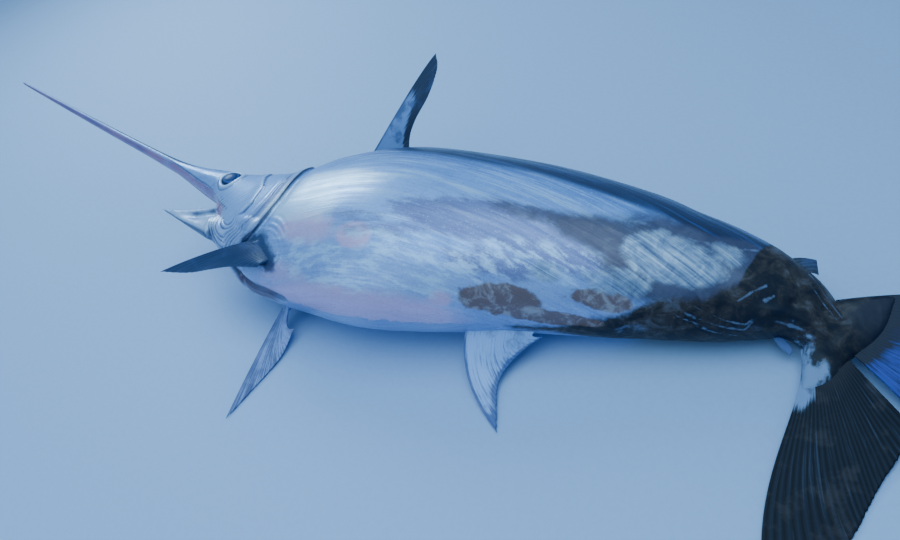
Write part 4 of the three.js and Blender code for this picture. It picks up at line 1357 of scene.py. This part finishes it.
def lower_lobe_pale(u, v):
    return 1.3 * hump(u - 0.10, 0.24) * (1 - soft_step(0.24, 0.44, v)) + 0.24 * hump(v - 0.6, 0.2)


# How pale each fin is, from its front to its rear ray and from its foot to its margin.
FIN_PALE = {
    "dorsal_fin": dorsal_pale,
    "anal_fin": anal_pale,
    "pectoral_fin_left": left_pectoral_pale,
    "pectoral_fin_right": right_pectoral_pale,
    "caudal_lobe_upper": upper_lobe_pale,
    "caudal_lobe_lower": lower_lobe_pale,
}


def make_fin(node, look, material, ridge):
    """A thin sheet with a ridge for each ray on both faces, ragged between the rays at its margin."""
    rays, root, edge, fray = FIN_BUILD[node]

    def ray_at(u):
        return np.abs(np.cos(math.pi * rays * u)) ** 2.5

    def half_at(u, v):
        lead = 1.6 * np.exp(-u * rays * 0.9) * (1 - v)
        return (root + (edge - root) * v**0.6) / 2 + ridge * (ray_at(u) * (1 - 0.75 * v) + lead)

    def reach_at(u, v):
        wave = 0.5 + 0.5 * np.sin(u * 41.0) * np.sin(u * 17.0)
        return v * (1 - fray * np.sin(math.pi * rays * u) ** 2 * wave)

    rows, columns = rays * look.faces_per_ray, look.faces_outward
    bm, u, v = closed_sheet(FIN_LINES[node], rows, columns, half_at, reach_at)
    mesh = bpy.data.meshes.new(node)
    bm.to_mesh(mesh)
    bm.free()
    keep_attribute(mesh, "across", u)
    keep_attribute(mesh, "outward", v)
    keep_attribute(mesh, "ray", ray_at(u))
    keep_attribute(mesh, "pale", FIN_PALE[node](u, v) if node in FIN_PALE else np.zeros(len(u)))
    shade_smooth(mesh)
    mesh.materials.append(material)
    piece = new_piece(node + "_skin", mesh)
    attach(piece, "root")
    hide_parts(node)


class FinLook(bpy.types.PropertyGroup):
    faces_per_ray: IntProperty(
        name="Faces per ray", description="Rows of faces for each ray", default=4, min=2, max=8,
    )
    faces_outward: IntProperty(
        name="Faces outward", description="Faces from base to margin", default=36, min=8, max=80,
    )
    ridge: FloatProperty(
        name="Ray ridge", description="How far a ray stands out of the membrane, in millimetres",
        default=0.55, min=0.0, max=2.0,
    )
    tail_ridge: FloatProperty(
        name="Tail ray ridge", description="The same for the tail, in millimetres",
        default=0.2, min=0.0, max=2.0,
    )


class SWORDFISH_OT_middle_fins(bpy.types.Operator):
    """The fins of the back and the belly"""

    bl_idname = "swordfish.middle_fins"
    bl_label = "Make the fins of back and belly"

    def execute(self, context):
        look = context.scene.swordfish_fins
        for large, small, finish in (("dorsal_fin", "second_dorsal_fin", "Navy fin"),
                                     ("anal_fin", "second_anal_fin", "Lilac fin")):
            material = fin_material(finish)
            make_fin(large, look, material, look.ridge)
            make_fin(small, look, material, SMALL_FIN_RIDGE)
        return {"FINISHED"}


class SWORDFISH_OT_pectoral_fins(bpy.types.Operator):
    """The pair of fins behind the gill covers"""

    bl_idname = "swordfish.pectoral_fins"
    bl_label = "Make the pectoral fins"

    def execute(self, context):
        look = context.scene.swordfish_fins
        make_fin("pectoral_fin_left", look, fin_material("Slate fin"), look.ridge)
        make_fin("pectoral_fin_right", look, fin_material("Mauve fin"), look.ridge)
        return {"FINISHED"}


class SWORDFISH_OT_tail(bpy.types.Operator):
    """The two lobes of the tail"""

    bl_idname = "swordfish.tail"
    bl_label = "Make the tail"

    def execute(self, context):
        look = context.scene.swordfish_fins
        make_fin("caudal_lobe_upper", look, fin_material("Ink-blue tail"), look.tail_ridge)
        make_fin("caudal_lobe_lower", look, fin_material("Umber tail"), look.tail_ridge)
        return {"FINISHED"}


# Eyes, in metres: the ball's radius across, its half depth, and how far it stands out of the skin
EYE_RADIUS, EYE_DEPTH, EYE_PROUD = 0.026, 0.016, 0.0045


class EyeLook(bpy.types.PropertyGroup):
    iris: FloatProperty(
        name="Iris spread", description="A larger value makes the pupil and iris smaller",
        default=0.9, min=0.5, max=2.0,
    )


def eye_ball(node, sign, look, material):
    seat, outward = eye_seat(sign)
    middle = Vector(seat) - Vector(outward) * (EYE_DEPTH - EYE_PROUD)
    sideways = Vector(outward).orthogonal().normalized()
    upward = Vector(outward).cross(sideways)
    axes = ((sideways, EYE_RADIUS), (upward, EYE_RADIUS), (Vector(outward), EYE_DEPTH))
    turn = Matrix([[axis[k] * reach for axis, reach in axes] for k in range(3)]).to_4x4()
    turn.translation = middle
    bm = bmesh.new()
    bmesh.ops.create_uvsphere(bm, u_segments=64, v_segments=40, radius=1.0, matrix=turn)
    mesh = bpy.data.meshes.new(node + " ball")
    bm.to_mesh(mesh)
    bm.free()
    aim = np.array(Vector(outward))
    co = coordinates(mesh) - np.array(middle)
    across = np.linalg.norm(co - np.outer(co @ aim, aim), axis=1)
    keep_attribute(mesh, "disc", np.where(co @ aim > 0, across / EYE_RADIUS, 1.0) * look.iris)
    shade_smooth(mesh)
    mesh.materials.append(material)
    return new_piece(node + "_ball", mesh)


class SWORDFISH_OT_eyes(bpy.types.Operator):
    """The pair of glossy eyes in their sockets"""

    bl_idname = "swordfish.eyes"
    bl_label = "Make the eyes"

    def execute(self, context):
        look = context.scene.swordfish_eyes
        material = eye_material()
        for node, sign in (("eye_left", 1), ("eye_right", -1)):
            eye = eye_ball(node, sign, look, material)
            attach(eye, "root")
            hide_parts(node)
        return {"FINISHED"}


# Stage: half side of the floor, the point that the lamps aim at, and each lamp's place, width and colour
FLOOR_REACH = 4.6
LAMP_AIM = (0.0, 0.0, 0.1)
SKY_BLUE = (0.46, 0.75, 1.0)
LAMPS = {
    "Window light": ((-2.0, 1.4, 1.6), 1.3, (0.56, 0.82, 1.0)),
    "Overhead light": ((0.3, -0.3, 2.8), 3.0, SKY_BLUE),
    "Front light": ((-1.0, -2.4, 1.6), 2.0, SKY_BLUE),
}
ROOM_COLOUR, ROOM_STRENGTH = (0.26, 0.56, 1.0, 1.0), 0.5
# The camera: its place from the tip of the bill, its height over the floor, and the directions that
# lie to the right and upwards in the picture.
CAMERA_FROM_BILL = (1.9821, -1.0774)
CAMERA_HEIGHT = 1.15
CAMERA_RIGHT = (0.8856, 0.3976, -0.2401)
CAMERA_UP = (-0.1402, 0.7215, 0.6780)


class StageLook(bpy.types.PropertyGroup):
    floor_colour: colour_property("Floor", "Colour of the floor", (166, 192, 228))
    key_power: FloatProperty(
        name="Window light", description="Power of the light beyond the head",
        default=42.0, min=0.0, unit="POWER",
    )
    top_power: FloatProperty(
        name="Overhead light", description="Power of the broad light overhead",
        default=76.0, min=0.0, unit="POWER",
    )
    fill_power: FloatProperty(
        name="Front light", description="Power of the light beside the camera",
        default=16.0, min=0.0, unit="POWER",
    )
    lens: FloatProperty(
        name="Lens", description="Focal length of the camera", default=31.2, min=10.0, unit="CAMERA",
    )


def area_light(name, power):
    place, size, colour = LAMPS[name]
    data = bpy.data.lights.new(name, "AREA")
    data.shape = "DISK"
    data.size = size
    data.energy = power
    data.color = colour
    obj = bpy.data.objects.new(name, data)
    obj.location = place
    obj.rotation_euler = (Vector(LAMP_AIM) - Vector(place)).to_track_quat("-Z", "Y").to_euler()
    bpy.context.scene.collection.objects.link(obj)


def floor_piece(colour):
    bm = bmesh.new()
    bmesh.ops.create_grid(bm, x_segments=4, y_segments=4, size=FLOOR_REACH)
    mesh = bpy.data.meshes.new("Floor")
    bm.to_mesh(mesh)
    bm.free()
    mesh.materials.append(floor_material(colour))
    return new_piece("floor", mesh)


def soft_room():
    world = bpy.data.worlds.new("Soft room")
    world.use_nodes = True
    background = world.node_tree.nodes["Background"]
    background.inputs["Color"].default_value = ROOM_COLOUR
    background.inputs["Strength"].default_value = ROOM_STRENGTH
    return world


def photo_camera(lens):
    """The camera, where the photograph was taken from."""
    camera = bpy.data.cameras.new("Camera")
    camera.lens = lens
    camera.sensor_width = 36.0
    camera.clip_start = 0.05
    camera.clip_end = 60.0
    right = Vector(CAMERA_RIGHT).normalized()
    upward = Vector(CAMERA_UP)
    upward = (upward - right * upward.dot(right)).normalized()
    turn = Matrix((right, upward, right.cross(upward))).transposed().to_4x4()
    from_x, from_y = CAMERA_FROM_BILL
    turn.translation = Vector((BILL_LOW.x + from_x, BILL_HIGH.y + from_y, CAMERA_HEIGHT))
    obj = bpy.data.objects.new("Camera", camera)
    obj.matrix_world = turn
    bpy.context.scene.collection.objects.link(obj)
    return obj


class SWORDFISH_OT_stage(bpy.types.Operator):
    """Pale floor, soft light and the camera"""

    bl_idname = "swordfish.stage"
    bl_label = "Make the stage"

    def execute(self, context):
        look = context.scene.swordfish_stage
        floor_piece(look.floor_colour)
        context.scene.world = soft_room()
        area_light("Window light", look.key_power)
        area_light("Overhead light", look.top_power)
        area_light("Front light", look.fill_power)
        context.scene.camera = photo_camera(look.lens)
        return {"FINISHED"}


class SWORDFISH_PT_panel(bpy.types.Panel):
    """Sizes and colours of the swordfish's looks"""

    bl_label = "Swordfish"
    bl_idname = "SWORDFISH_PT_panel"
    bl_space_type = "VIEW_3D"
    bl_region_type = "UI"
    bl_category = "Swordfish"

    def draw(self, context):
        for holder, operators in PANEL_ROWS:
            box = self.layout.box()
            look = getattr(context.scene, holder)
            for key in look.__annotations__:
                box.prop(look, key)
            for operator in operators:
                box.operator(operator)


PANEL_ROWS = (
    ("swordfish_skin", ("swordfish.skin",)),
    ("swordfish_fins", ("swordfish.middle_fins", "swordfish.pectoral_fins", "swordfish.tail")),
    ("swordfish_eyes", ("swordfish.eyes",)),
    ("swordfish_stage", ("swordfish.stage",)),
)
LOOKS = (
    ("swordfish_skin", SkinLook),
    ("swordfish_fins", FinLook),
    ("swordfish_eyes", EyeLook),
    ("swordfish_stage", StageLook),
)
OPERATORS = (
    SWORDFISH_OT_skin,
    SWORDFISH_OT_middle_fins,
    SWORDFISH_OT_pectoral_fins,
    SWORDFISH_OT_tail,
    SWORDFISH_OT_eyes,
    SWORDFISH_OT_stage,
)


def register():
    for holder, look in LOOKS:
        bpy.utils.register_class(look)
        setattr(bpy.types.Scene, holder, PointerProperty(type=look))
    for operator in OPERATORS:
        bpy.utils.register_class(operator)
    bpy.utils.register_class(SWORDFISH_PT_panel)


def unregister():
    bpy.utils.unregister_class(SWORDFISH_PT_panel)
    for operator in reversed(OPERATORS):
        bpy.utils.unregister_class(operator)
    for holder, look in reversed(LOOKS):
        delattr(bpy.types.Scene, holder)
        bpy.utils.unregister_class(look)


def main():
    register()
    bpy.ops.swordfish.stage()
    bpy.ops.swordfish.skin()
    bpy.ops.swordfish.middle_fins()
    bpy.ops.swordfish.pectoral_fins()
    bpy.ops.swordfish.tail()
    bpy.ops.swordfish.eyes()


if __name__ == "__main__":
    main()
